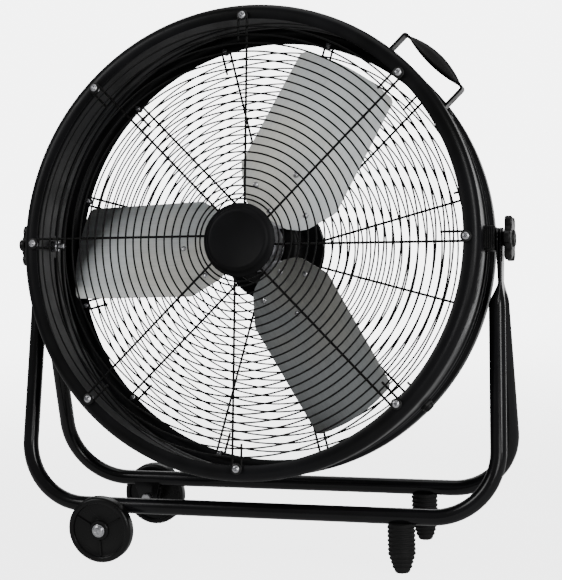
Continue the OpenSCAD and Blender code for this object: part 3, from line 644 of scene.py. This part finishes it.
def make_guard(end, count, first, inner_r, rings_from, spoke_z, ring_z):
    """Hairpin spokes and rings of one guard; the front one has a small extra ring."""
    spokes, rings = Shape(), Shape()
    for turned in around(count, first):
        spokes.tube(hairpin_path(inner_r), SPOKE_D / 2, turned @ shift(z=spoke_z))
    radii = [RING_FIRST + i * RING_PITCH for i in range(rings_from, RING_COUNT)]
    if end == "front":
        radii.insert(0, RING_FIRST - 7)
    for r in radii:
        section = arc(r, ring_z, RING_D / 2, 0, 324, 9)
        rings.revolve(section, segments=180)
    for shape, part in ((spokes, "spoke"), (rings, "ring")):
        shape.piece("%s_%s_wires" % (end, part), "drum", wire_paint, "black_wire",
                    ["%s_guard_%ss" % (end, part)], DRUM)


def disc_profile(r, low, high, bore=14, edge=0.6):
    """Flat disc whose rim is eased by edge."""
    rim = [(r - edge, low), (r, low + edge), (r, high - edge), (r - edge, high)]
    return [(bore, low)] + rim + [(bore, high)]


def make_front_cap():
    base = LIP_FRONT + SPOKE_D + 0.1
    profile = [(0, base + 10.4), (39, base + 10.4), (45, base + 8), (51, base), (54.4, base)]
    profile += [(55, base + 0.8), (54.6, base + 1.9), (53, base + 2.6)]
    profile += [(50.2, base + 4.2), (47.6, base + 8.2), (45.6, base + 10.8), (43, base + 11.8)]
    profile += [(41, base + 12), (39.6, base + 11.7), (38.4, base + 11.2), (0, base + 11.2)]
    shape = Shape()
    shape.spin(profile, segments=128)
    shape.piece("front_cap_pressing", "drum", cap_paint, "cap_paint", ["front_cap"], DRUM, sharp=50)
    plate = Shape()
    low = LIP_FRONT - 2.05
    plate.spin(disc_profile(50, low, low + 2, 0, 0.5), segments=96)
    plate.piece("front_guard_disc", "drum", wire_paint, "black_wire", ["front_guard_plate"], DRUM)


def make_guard_fasteners():
    front, washers, front_nuts = Shape(), Shape(), Shape()
    washer = [(2.8, GAP), (7.5, GAP), (8, 0.4), (8, 1.2), (7.5, 1.55), (2.8, 1.55)]
    for i, turned in enumerate(around(FRONT_SPOKES)):
        spot = turned @ shift(SCREW_CIRCLE, 0, LIP_FRONT + SPOKE_D)
        add_screw(front, spot @ shift(z=1.65) @ turn(i * 37), 5.5, 4, 2.5, 13)
        washers.revolve(washer, spot, 40)
        add_nut(front_nuts, spot @ shift(z=-SPOKE_D - SHEET - GAP) @ turn(180, "X"), 9.2, 4, 2.5)
    rear, rear_nuts = Shape(), Shape()
    for i, turned in enumerate(around(REAR_SPOKES, REAR_SPOKE_FIRST)):
        spot = turned @ shift(SCREW_CIRCLE, 0, -LIP_REAR)
        behind = spot @ shift(z=-SPOKE_D - GAP) @ turn(180, "X")
        add_screw(rear, behind @ turn(i * 41), 5.5, 4, 2.5, 11)
        add_nut(rear_nuts, spot @ shift(z=SHEET + GAP), 9.2, 4, 2.5)
    front.piece("front_guard_screws", "drum", zinc, "bright_zinc", ["front_screws"], DRUM)
    washers.piece("front_guard_washers", "drum", black_oxide, "black_fastener", ["front_washers"],
                  DRUM)
    front_nuts.piece("front_guard_nuts", "drum", zinc, "bright_zinc", ["front_nuts"], DRUM)
    rear.piece("rear_guard_screws", "drum", zinc, "bright_zinc", ["rear_screws"], DRUM)
    rear_nuts.piece("rear_guard_nuts", "drum", zinc, "bright_zinc", ["rear_nuts"], DRUM)


def make_motor():
    back, front, r = -LIP_REAR + PLATE_T + GAP, MOTOR_FRONT, MOTOR_R
    casing = Shape()
    profile = [(9, back), (r - 6, back)] + arc(r - 7, back + 5, 5, -90, 0)
    profile += [(r - 2, front), (r - 4, front), (r - 4, back + 5), (9, back + 5)]
    casing.revolve(profile, segments=96)
    fin = box_outline(3.4, 1.8, 0.6)
    for turned in around(32):
        casing.prism(fin, back + 6, front - 3, turned @ shift(r - 1.7, 0, 0), 0.6)
    casing.piece("motor_casing", "drum", motor_paint, "motor_paint", ["motor_housing"], DRUM)
    bell = Shape()
    top = front + 8
    profile = [(9, front + 4), (48, front + 3), (50, front - 4), (52.8, front - 4)]
    profile += [(52.8, front + 0.1), (r, front + 0.1)] + arc(r - 6, top - 6, 6, 0, 90)
    profile += [(38, top), (36, top - 1.6), (24, top - 1.6), (22, top), (9, top)]
    bell.revolve(profile, segments=96)
    rib = box_outline(11, 2.2, 0.8)
    for turned in around(12):
        bell.prism(rib, top - 1.8, top - 0.2, turned @ shift(30, 0, 0), 0.4)
    bell.piece("motor_bell", "drum", motor_paint, "motor_paint", ["motor_front_bell"], DRUM)
    bolts, nuts = Shape(), Shape()
    head = [(0, 0.1), (4, 0.1), (4, 2.4), (3.2, 3.1), (0, 3.1)]
    shank = [(0, -0.1), (2.4, -0.1), (2.4, -77.5), (0, -77.6)]
    for turned in around(MOTOR_BOLTS, 45):
        spot = turned @ shift(MOTOR_BOLT_R, 0, 0)
        bolts.spin(head, spot @ shift(z=top), 24)
        bolts.spin(shank, spot @ shift(z=top), 16)
        add_nut(nuts, spot @ shift(z=-LIP_REAR - SPOKE_D - 5.1) @ turn(180, "X"), 9, 4, 2.4)
    bolts.piece("motor_through_bolts", "drum", zinc, "bright_zinc", ["motor_bolts"], DRUM)
    nuts.piece("motor_bolt_nuts", "drum", zinc, "bright_zinc", ["motor_nuts"], DRUM)


def make_rear_plates():
    plate = Shape()
    plate.revolve(disc_profile(REAR_PLATE_R, -LIP_REAR + GAP, -LIP_REAR + PLATE_T), segments=128)
    plate.piece("rear_motor_disc", "drum", drum_paint, "black_drum", ["rear_motor_plate"], DRUM)
    cover = Shape()
    low = -LIP_REAR - SPOKE_D - PLATE_T
    cover.revolve(disc_profile(COVER_PLATE_R, low, low + PLATE_T - GAP), segments=128)
    cover.piece("rear_cover_disc", "drum", drum_paint, "black_drum", ["rear_cover_plate"], DRUM)


def make_switch_box():
    front = -LIP_REAR - SPOKE_D - PLATE_T - GAP
    outer = box_outline(BOX_W, BOX_H, 6)
    inner = box_outline(BOX_W - 2 * BOX_WALL, BOX_H - 2 * BOX_WALL, 4)
    box = Shape()
    rings = [(outer, BOX_BACK), (outer, front - 1.2), (inset(outer, 1.2), front)]
    rings += [(inset(inner, 1), front - BOX_WALL), (inner, BOX_BACK)]
    box.loft([[(x, y, z) for x, y in o] for o, z in rings[:3]], caps=False)
    box.loft([[(x, y, z) for x, y in o] for o, z in (rings[0], rings[4], rings[3])], caps=False)
    n = len(outer)
    box.add([(x, y, front) for x, y in inset(outer, 1.2)], [list(range(n))])
    box.add([(x, y, front - BOX_WALL) for x, y in inset(inner, 1)], [list(range(n))[::-1]])
    box.piece("switch_housing", "drum", plastic, "black_plastic", ["switch_box"], DRUM)
    lid = Shape()
    lid.prism(outer, BOX_LID_Z - LID_T, BOX_LID_Z, None, 0.8)
    lid.piece("switch_cover", "drum", plastic, "black_plastic", ["switch_box_lid"], DRUM)
    screws = Shape()
    for x in (-1, 1):
        for y in (-1, 1):
            spot = shift(x * (BOX_W / 2 - 8), y * (BOX_H / 2 - 8), BOX_LID_Z - LID_T)
            add_screw(screws, spot @ turn(180, "X"), 3.4, 1.8, 1.5, 0)
    screws.piece("switch_cover_screws", "drum", black_oxide, "black_fastener", place=DRUM)


def make_speed_knob():
    """Pointer knob on the lid, with a plain mark at each of its four stops."""
    dial = shift(SWITCH_X, 0, BOX_LID_Z - LID_T) @ turn(180, "X")
    marks = Shape()
    mark = box_outline(4.4, 1.1, 0.4)
    for i in range(4):
        marks.prism(mark, 0, 0.25, dial @ turn(90 + i * 45) @ shift(20.5, 0, 0))
    marks.piece("switch_dial_marks", "drum", mark_paint, "black_plastic", place=DRUM)
    knob = Shape()
    low = 0.45
    skirt = [(0, low), (15.6, low), (16, low + 0.5)]
    skirt += [(15.7, low + 2.6), (13.6, low + 4), (0, low + 4)]
    knob.spin(skirt, dial, 64)
    knob.prism(box_outline(8, 27.6, 3.6), low + 3.8, low + 13.4, dial, 1.0)
    knob.spin([(0, 6), (3.2, 6), (3.2, -9.2), (0, -9.2)], dial, 24)
    knob.piece("speed_knob_moulding", "speed_knob", plastic, "black_plastic", ["switch_knob"],
               DRUM)
    pointer = Shape()
    pointer.prism(box_outline(1.3, 9, 0.5), low + 13.4, low + 13.7, dial @ shift(0, 8, 0))
    pointer.piece("speed_knob_pointer", "speed_knob", mark_paint, "black_plastic", place=DRUM)


def make_lead():
    """Lead from the rear windings to the side of the speed switch, inside the box."""
    bend_y = LEAD_Y + LEAD_BEND
    path = [(LEAD_Y, LEAD_TOP_Z - 0.1), (LEAD_Y, (LEAD_TOP_Z + LEAD_TURN_Z) / 2)]
    path += arc(bend_y, LEAD_TURN_Z, LEAD_BEND, 180, 270, 8)
    path.append((SWITCH_SIDE, LEAD_TURN_Z - LEAD_BEND))
    lead = Shape()
    lead.tube([(SWITCH_X, y, z) for y, z in path], LEAD_D / 2, None, 20, round_end=False)
    lead.piece("motor_lead_sheath", "drum", sheath, "lead_sheath", ["motor_lead"], DRUM)


def make_gland():
    gland = Shape()
    out = turn(GLAND_ANGLE) @ shift(BARREL_R - SHEET, 0, GLAND_Z) @ turn(90, "Y")
    hexagon = rounded(arc(0, 0, 11, 0, 300, 5), 1.0)
    gland.prism(hexagon, SHEET + 0.6, SHEET + 5.6, out, 0.7)
    body = [(4, 0.1), (8, 0.1), (8, SHEET + 5), (8.6, SHEET + 5.4), (8.6, SHEET + 8)]
    body += [(8.1, SHEET + 9.8), (7.2, SHEET + 11.4), (6.3, SHEET + 12), (4, SHEET + 12), (4, 3)]
    gland.revolve(body, out, 48)
    gland.piece("lead_gland_moulding", "drum", plastic, "black_plastic", ["lead_gland"], DRUM)


def strap_centreline():
    """Middle of the flat bar, from one foot on the barrel to the other."""
    mid_r = BARREL_R + GAP + STRAP_T / 2
    leg = HANDLE_HALF
    foot_end = math.degrees(math.asin((leg + 18.5) / mid_r))
    foot_start = math.degrees(math.asin((leg + 3.5) / mid_r))
    half = arc(0, 0, mid_r, foot_end, foot_start, 6)
    base = mid_r * math.cos(math.radians(foot_start))
    half += arc(base + 3.6, leg + 3.4, 3.4, 180, 270, 5)[1:]
    half.append((HANDLE_R - 20, leg))
    half += arc(HANDLE_R - 4, leg - 4, 4, 90, 0, 6)
    return half + [(x, -y) for x, y in half[::-1]]


def strap_rings():
    """Flat section of the bar at each point of its middle line."""
    line = strap_centreline()
    rings = []
    for i, p in enumerate(line):
        before = Vector(line[max(i - 1, 0)])
        after = Vector(line[min(i + 1, len(line) - 1)])
        along = (after - before).normalized()
        out = Vector((-along.y, along.x)) * STRAP_T / 2
        w = STRAP_W / 2
        corners = [(out, w), (out, -w), (-out, -w), (-out, w)]
        rings.append([(p[0] + o.x, p[1] + o.y, z) for o, z in corners])
    return rings


def grip_rings():
    """Sections of the moulded grip, lens shaped along its length and fuller outside."""
    half, outer, inner, width = HANDLE_HALF - 3.4, 13, 8.5, 14
    steps = 44
    rings = []
    for i in range(steps + 1):
        a = math.pi * i / steps
        y = -half * math.cos(a)
        lens = max(0.0, 1 - (y / half) ** 2)
        end = max(0.02, lens) ** 0.28
        ring = []
        for k in range(36):
            b = 2 * math.pi * k / 36
            c, s = math.cos(b), math.sin(b)
            reach = (outer if c > 0 else inner) * max(lens, 0.03)
            reach = max(reach, 2.2 * end)
            x = math.copysign(abs(c) ** 0.8, c) * reach
            z = math.copysign(abs(s) ** 0.62, s) * width * end
            ring.append((HANDLE_R + x, y, z))
        rings.append(ring)
    return rings


def make_handle():
    turned = turn(HANDLE_ANGLE)
    strap, grip = Shape(), Shape()
    strap.loft(strap_rings(), turned)
    strap.piece("handle_bar", "drum", drum_paint, "black_drum", ["handle_strap"], DRUM,
                sharp=50, bevel=0.7)
    grip.loft(grip_rings(), turned)
    grip.piece("handle_moulding", "drum", grip_plastic, "grip_plastic", ["handle_grip"], DRUM,
               sharp=50)
    bolts, nuts = Shape(), Shape()
    reach = math.degrees(math.asin((HANDLE_HALF + 9) / BARREL_R))
    for s in (-1, 1):
        spot = turn(HANDLE_ANGLE + s * reach) @ shift(BARREL_R, 0, 0) @ turn(90, "Y")
        add_screw(bolts, spot @ shift(z=STRAP_T + 0.1), 6, 3.4, 3, 13)
        add_nut(nuts, spot @ shift(z=-SHEET - 0.5) @ turn(180, "X"), 11.5, 5, 3)
    bolts.piece("handle_screws", "drum", black_oxide, "black_fastener", ["handle_bolts"], DRUM)
    nuts.piece("handle_screw_nuts", "drum", zinc, "bright_zinc", ["handle_nuts"], DRUM)


def knob_outline(scale=0.0):
    """Six round lobes on a core, each point drawn in by scale."""
    points = []
    count = 180
    for k in range(count):
        a = 360 * k / count
        off = math.radians((a + 30) % 60 - 30)
        reach = KNOB_LOBE_AT * math.sin(off)
        tip = KNOB_LOBE_AT * math.cos(off) + math.sqrt(max(0, KNOB_LOBE_R ** 2 - reach ** 2))
        r = max(KNOB_CORE_R, tip) if abs(reach) < KNOB_LOBE_R else KNOB_CORE_R
        a = math.radians(a)
        points.append(((r - scale) * math.cos(a), (r - scale) * math.sin(a)))
    return points


def make_pivot_block(label, sign, place):
    """Moulded spacer between barrel and tab, ribbed along its front and back."""
    block = Shape()
    block.prism(box_outline(34, 36, 3), 0, BLOCK_OUT - BLOCK_IN, place, 1.2)
    rib = box_outline(1.5, 31, 0.5)
    for i in range(5):
        at = shift(sign * (349 + 3 * i), PIVOT_RISE, 0)
        block.prism(rib, 16.6, 17.8, at, 0.4)
        block.prism(rib, -17.8, -16.6, at, 0.4)
    block.piece("pivot_spacer_" + label, "drum", plastic, "black_plastic",
                ["pivot_block_" + label], DRUM)


def make_clamp_knob(label, place):
    """Round collar, lobed head and boss, outward from the tab."""
    knob = Shape()
    foot = 0.3
    knob.spin([(0, foot), (10.6, foot), (11, foot + 0.6), (11, 5.2), (0, 5.2)], place, 56)
    levels = [(4.2, 1.6), (4.7, 0.5), (5.8, 0)]
    levels += [(12.2, 0), (13.6, 0.5), (14.3, 1.7), (14.6, 3.4)]
    knob.loft([[(x, y, z) for x, y in knob_outline(d)] for z, d in levels], place)
    boss = [(0, 14.2), (12.6, 14.2), (12.2, 16), (11.2, 17.2)]
    boss += [(9.6, 17.6), (7.6, 17.3), (7, 16.8), (0, 16.8)]
    knob.spin(boss, place, 56)
    knob.piece("clamp_knob_" + label, "knob_" + label, plastic, "black_plastic",
               ["tilt_knob_" + label], DRUM, sharp=45)


def make_pivots():
    studs, nuts = Shape(), Shape()
    length = TAB_OUTER + STUD_BEYOND_TAB - STUD_IN
    stud = [(0, 0), (STUD_R - 0.6, 0), (STUD_R, 0.8), (STUD_R, length), (0, length)]
    for sign, label in ((-1, "left"), (1, "right")):
        def out(x):
            spot = Matrix.Translation((sign * x * MM, PIVOT_RISE * MM, 0))
            return spot @ turn(sign * 90, "Y")
        make_pivot_block(label, sign, out(BLOCK_IN))
        studs.spin(stud, out(STUD_IN), 32)
        add_nut(nuts, out(BARREL_R - SHEET - 0.2) @ turn(180, "X"), 19, 8, STUD_R)
        make_clamp_knob(label, out(TAB_OUTER))
    studs.piece("pivot_stud_pair", "drum", zinc, "bright_zinc", ["pivot_studs"], DRUM)
    nuts.piece("pivot_nut_pair", "drum", zinc, "bright_zinc", ["pivot_nuts"], DRUM)


# ---------------------------------------------------------------- rotor
def outline_limit(x):
    """Half width of the blade at distance x from the axis."""
    if x <= BLADE_NECK_X:
        rise = (BLADE_NECK_HALF - BLADE_ROOT_HALF) * (x - BLADE_ROOT_X)
        return BLADE_ROOT_HALF + rise / (BLADE_NECK_X - BLADE_ROOT_X)
    if x <= BLADE_WIDE_X:
        rise = (BLADE_WIDE_HALF - BLADE_NECK_HALF) * (x - BLADE_NECK_X)
        return BLADE_NECK_HALF + rise / (BLADE_WIDE_X - BLADE_NECK_X)
    fall = (BLADE_WIDE_HALF - BLADE_HALF) * (x - BLADE_WIDE_X)
    return BLADE_WIDE_HALF - fall / (BLADE_R - BLADE_WIDE_X)


def make_blade(number):
    """A sheet of quads: each row runs from the root to the arc tip."""
    rows, columns = 30, 34
    shape = Shape()
    faces = []
    tops, bottoms = [], []
    for j in range(rows + 1):
        share = -1 + 2 * j / rows
        for i in range(columns + 1):
            t = i / columns
            tip_y = share * BLADE_HALF
            tip_x = math.sqrt(BLADE_R ** 2 - tip_y ** 2)
            x = BLADE_ROOT_X + (tip_x - BLADE_ROOT_X) * t
            corner = max(0.0, abs(share) - 0.95) / 0.05
            cut = 1 - math.sqrt(1 - min(1, corner) ** 2)
            x -= cut * BLADE_CORNER * ease((t - 0.8) / 0.2)
            y = share * outline_limit(min(x, 286))
            tops.append((x, y, BLADE_T / 2))
            bottoms.append((x, y, -BLADE_T / 2))
    wide = columns + 1
    offset = len(tops)
    for j in range(rows):
        for i in range(columns):
            a = j * wide + i
            faces.append([a, a + 1, a + wide + 1, a + wide])
            faces.append([offset + a, offset + a + wide, offset + a + wide + 1, offset + a + 1])
    edge = list(range(wide))
    edge += [j * wide + columns for j in range(1, rows + 1)]
    edge += [rows * wide + i for i in range(columns - 1, -1, -1)]
    edge += [j * wide for j in range(rows - 1, 0, -1)]
    for a, b in zip(edge, edge[1:] + edge[:1]):
        faces.append([a, offset + a, offset + b, b])
    shape.add(tops + bottoms, faces)
    place = DRUM @ turn(BLADE_PHASE + 120 * (number - 1)) @ turn(BLADE_PITCH, "X")
    name = "blade_%d" % number
    shape.piece(name + "_sheet", "rotor", blade_metal, "blade_aluminium", [name], place, bevel=0.4)


def make_rivets():
    """Domed heads in front, upset tails behind the spider and plain shanks."""
    shape = Shape()
    low = -BLADE_T / 2 - SPIDER_T - 2 * GAP
    dome = [(0, 0)] + [(4.6 * x, 2.2 * y) for x, y in arc(0, 0, 1, 0, 90, 9)]
    tail = [(0, 0), (4, 0), (4, -1), (3.2, -1.8), (0, -1.8)]
    shank = [(0, 0.8), (2, 0.8), (2, low), (0, low)]
    for turned in around(3, BLADE_PHASE):
        for x, y in RIVETS:
            spot = turned @ turn(BLADE_PITCH, "X") @ shift(x, y, 0)
            shape.spin(dome, spot @ shift(z=BLADE_T / 2 + GAP), 24)
            shape.spin(tail, spot @ shift(z=low), 20)
            shape.spin(shank, spot, 12)
    shape.piece("rivet_heads", "rotor", zinc, "bright_zinc", ["blade_rivets"], DRUM)


def make_spider():
    shape = Shape()
    pad = [(34, -12), (64, -46), (84, -50), (130, -10), (130, 10), (92, 58), (76, 58), (34, 14)]
    outline = rounded(pad, 8)
    high = -BLADE_T / 2 - GAP
    for turned in around(3, BLADE_PHASE):
        shape.prism(outline, high - SPIDER_T, high, turned @ turn(BLADE_PITCH, "X"), 0.5)
    shape.revolve(disc_profile(40, -6, 0, 15.1), None, 72)
    shape.piece("spider_pressing", "rotor", steel, "hub_steel", ["blade_spider"], DRUM)
    hub = Shape()
    profile = [(6, -16), (14.4, -16), (15, -15.4), (15, GAP), (25.4, GAP)]
    profile += [(26, 0.6), (26, 3.4), (25.4, 4), (6, 4)]
    hub.revolve(profile, None, 72)
    hub.piece("hub_boss", "rotor", steel, "hub_steel", ["fan_hub"], DRUM)
    nut = Shape()
    add_nut(nut, shift(z=4.2) @ turn(15), 20, 8, 6)
    nut.piece("hub_lock_nut", "rotor", zinc, "bright_zinc", ["hub_nut"], DRUM)


# ---------------------------------------------------------------- camera, light and floor
def make_camera():
    """Long lens a little to the right of straight ahead and slightly above."""
    azimuth, elevation, roll = (math.radians(a) for a in (17.01, 6.05, -2.26))
    distance, across, rise = 2.1935, 0.0315, -0.069
    back = Vector((math.sin(azimuth) * math.cos(elevation),
                   -math.cos(azimuth) * math.cos(elevation), math.sin(elevation)))
    right = Vector((math.cos(azimuth), math.sin(azimuth), 0))
    up = back.cross(right)
    camera = bpy.data.cameras.new("camera")
    camera.sensor_fit = "HORIZONTAL"
    camera.sensor_width = 36
    camera.lens = 91.95
    camera.clip_end = 50
    camera.dof.use_dof = False
    obj = bpy.data.objects.new("camera", camera)
    x = right * math.cos(roll) + up * math.sin(roll)
    y = up * math.cos(roll) - right * math.sin(roll)
    eye = drum_centre + back * distance + right * across + up * rise
    obj.matrix_world = axes_matrix(eye, x, y, back)
    bpy.context.scene.collection.objects.link(obj)
    bpy.context.scene.camera = obj


def soft_light(name, position, target, size, watts):
    light = bpy.data.lights.new(name, "AREA")
    light.shape = "RECTANGLE"
    light.size, light.size_y = size
    light.energy = watts
    obj = bpy.data.objects.new(name, light)
    aim = (Vector(position) - Vector(target)).to_track_quat("Z", "Y")
    obj.matrix_world = Matrix.Translation(position) @ aim.to_matrix().to_4x4()
    bpy.context.scene.collection.objects.link(obj)


def make_world():
    """Bright surround where it is seen directly, dimmer where it only lights the fan."""
    seen, lighting = 6.0, 0.2
    world = bpy.data.worlds.new("studio")
    world.use_nodes = True
    tree = world.node_tree
    shown = tree.nodes["Background"]
    shown.inputs["Color"].default_value = (0.98, 0.985, 0.99, 1)
    shown.inputs["Strength"].default_value = seen
    fill = tree.nodes.new("ShaderNodeBackground")
    fill.inputs["Color"].default_value = (0.94, 0.95, 0.96, 1)
    fill.inputs["Strength"].default_value = lighting
    path = tree.nodes.new("ShaderNodeLightPath")
    mix = tree.nodes.new("ShaderNodeMixShader")
    tree.links.new(path.outputs["Is Camera Ray"], mix.inputs["Fac"])
    tree.links.new(fill.outputs["Background"], mix.inputs[1])
    tree.links.new(shown.outputs["Background"], mix.inputs[2])
    tree.links.new(mix.outputs["Shader"], tree.nodes["World Output"].inputs["Surface"])
    bpy.context.scene.world = world


def floor_material():
    """Matt pale floor that lets the surround through, and fades out with distance."""
    near, far, least_clear = 0.5, 2.6, 0.62
    s = Surface("floor_paint", 0.0, 0.75, specular=0.1)
    s.colour(s.ramp(s.noise(3, 4), grey(0.86), grey(0.90)))
    s.bump(s.noise(140, 3), 0.05, 0.0004)
    s.shader.inputs["Emission Color"].default_value = (1, 1, 1, 1)
    s.shader.inputs["Emission Strength"].default_value = 0.5
    length = s.tree.nodes.new("ShaderNodeVectorMath")
    length.operation = "LENGTH"
    fade = s.tree.nodes.new("ShaderNodeMapRange")
    fade.interpolation_type = "SMOOTHSTEP"
    fade.inputs["From Min"].default_value = near
    fade.inputs["From Max"].default_value = far
    fade.inputs["To Min"].default_value = least_clear
    clear = s.tree.nodes.new("ShaderNodeBsdfTransparent")
    mix = s.tree.nodes.new("ShaderNodeMixShader")
    s.tree.links.new(s.coordinates, length.inputs[0])
    s.tree.links.new(length.outputs["Value"], fade.inputs["Value"])
    s.tree.links.new(fade.outputs["Result"], mix.inputs["Fac"])
    s.tree.links.new(s.shader.outputs["BSDF"], mix.inputs[1])
    s.tree.links.new(clear.outputs["BSDF"], mix.inputs[2])
    s.tree.links.new(mix.outputs["Shader"], s.tree.nodes["Material Output"].inputs["Surface"])
    return s.material


def make_studio():
    middle = (0, 0, 0.42)
    soft_light("key_left", (-2.2, -2.2, 2.3), middle, (1.2, 1.6), 44)
    soft_light("fill_right", (2.8, -1.6, 1.5), middle, (0.7, 2.0), 60)
    soft_light("rim_right", (1.0, 3.0, 0.5), middle, (0.9, 2.2), 11)
    soft_light("low_right", (1.5, -2.5, 0.45), (0.1, 0, 0.6), (1.0, 0.6), 12)
    soft_light("top_soft", (0.2, 0.3, 3.0), middle, (2.4, 1.6), 18)
    soft_light("back_rim", (-1.2, 2.8, 2.0), middle, (2.4, 1.0), 20)
    make_world()
    mesh = bpy.data.meshes.new("floor")
    half = 4
    corners = [(-half, -half, 0), (half, -half, 0), (half, half, 0), (-half, half, 0)]
    mesh.from_pydata(corners, [], [[0, 1, 2, 3]])
    mesh.materials.append(floor_material())
    floor = bpy.data.objects.new("floor", mesh)
    floor.location.z = -0.0005
    bpy.context.scene.collection.objects.link(floor)


# ---------------------------------------------------------------- the whole fan
make_camera()
make_studio()
make_hoop("front_hoop", -HOOP_LEAN, TAB_OUTER - TAB_T)
make_hoop("rear_hoop", HOOP_LEAN, TAB_OUTER - 2 * TAB_T - TAB_GAP)
for label, direction in (("front", -1), ("rear", 1)):
    make_wheel_bracket("wheel_bracket_" + label, direction)
    make_wheel("wheel_" + label, direction)
    make_foot("foot_" + label, direction)
make_axles()
make_shell()
make_guard("front", FRONT_SPOKES, 0, FRONT_SPOKE_IN, 0,
           LIP_FRONT + SPOKE_D / 2, LIP_FRONT + SPOKE_D + RING_D / 2 + GAP)
make_guard("rear", REAR_SPOKES, REAR_SPOKE_FIRST, REAR_SPOKE_IN, 1,
           -LIP_REAR - SPOKE_D / 2, -LIP_REAR - SPOKE_D - RING_D / 2 - GAP)
make_front_cap()
make_guard_fasteners()
make_motor()
make_rear_plates()
make_switch_box()
make_speed_knob()
make_lead()
make_gland()
make_handle()
make_pivots()
for number in (1, 2, 3):
    make_blade(number)
make_rivets()
make_spider()

# CAD nodes that are right as they are take only a finish
kept = {
    "foot_bolts": zinc,
    "stator_core": laminations,
    "rotor_core": laminations,
    "stator_windings": copper,
    "bearing_front": steel,
    "bearing_rear": steel,
    "motor_shaft": steel,
    "switch_body": plastic,
    "run_capacitor": can_metal,
}
for node, finish in kept.items():
    slots = frame["nodes"][node].data.materials
    slots.clear()
    slots.append(finish)

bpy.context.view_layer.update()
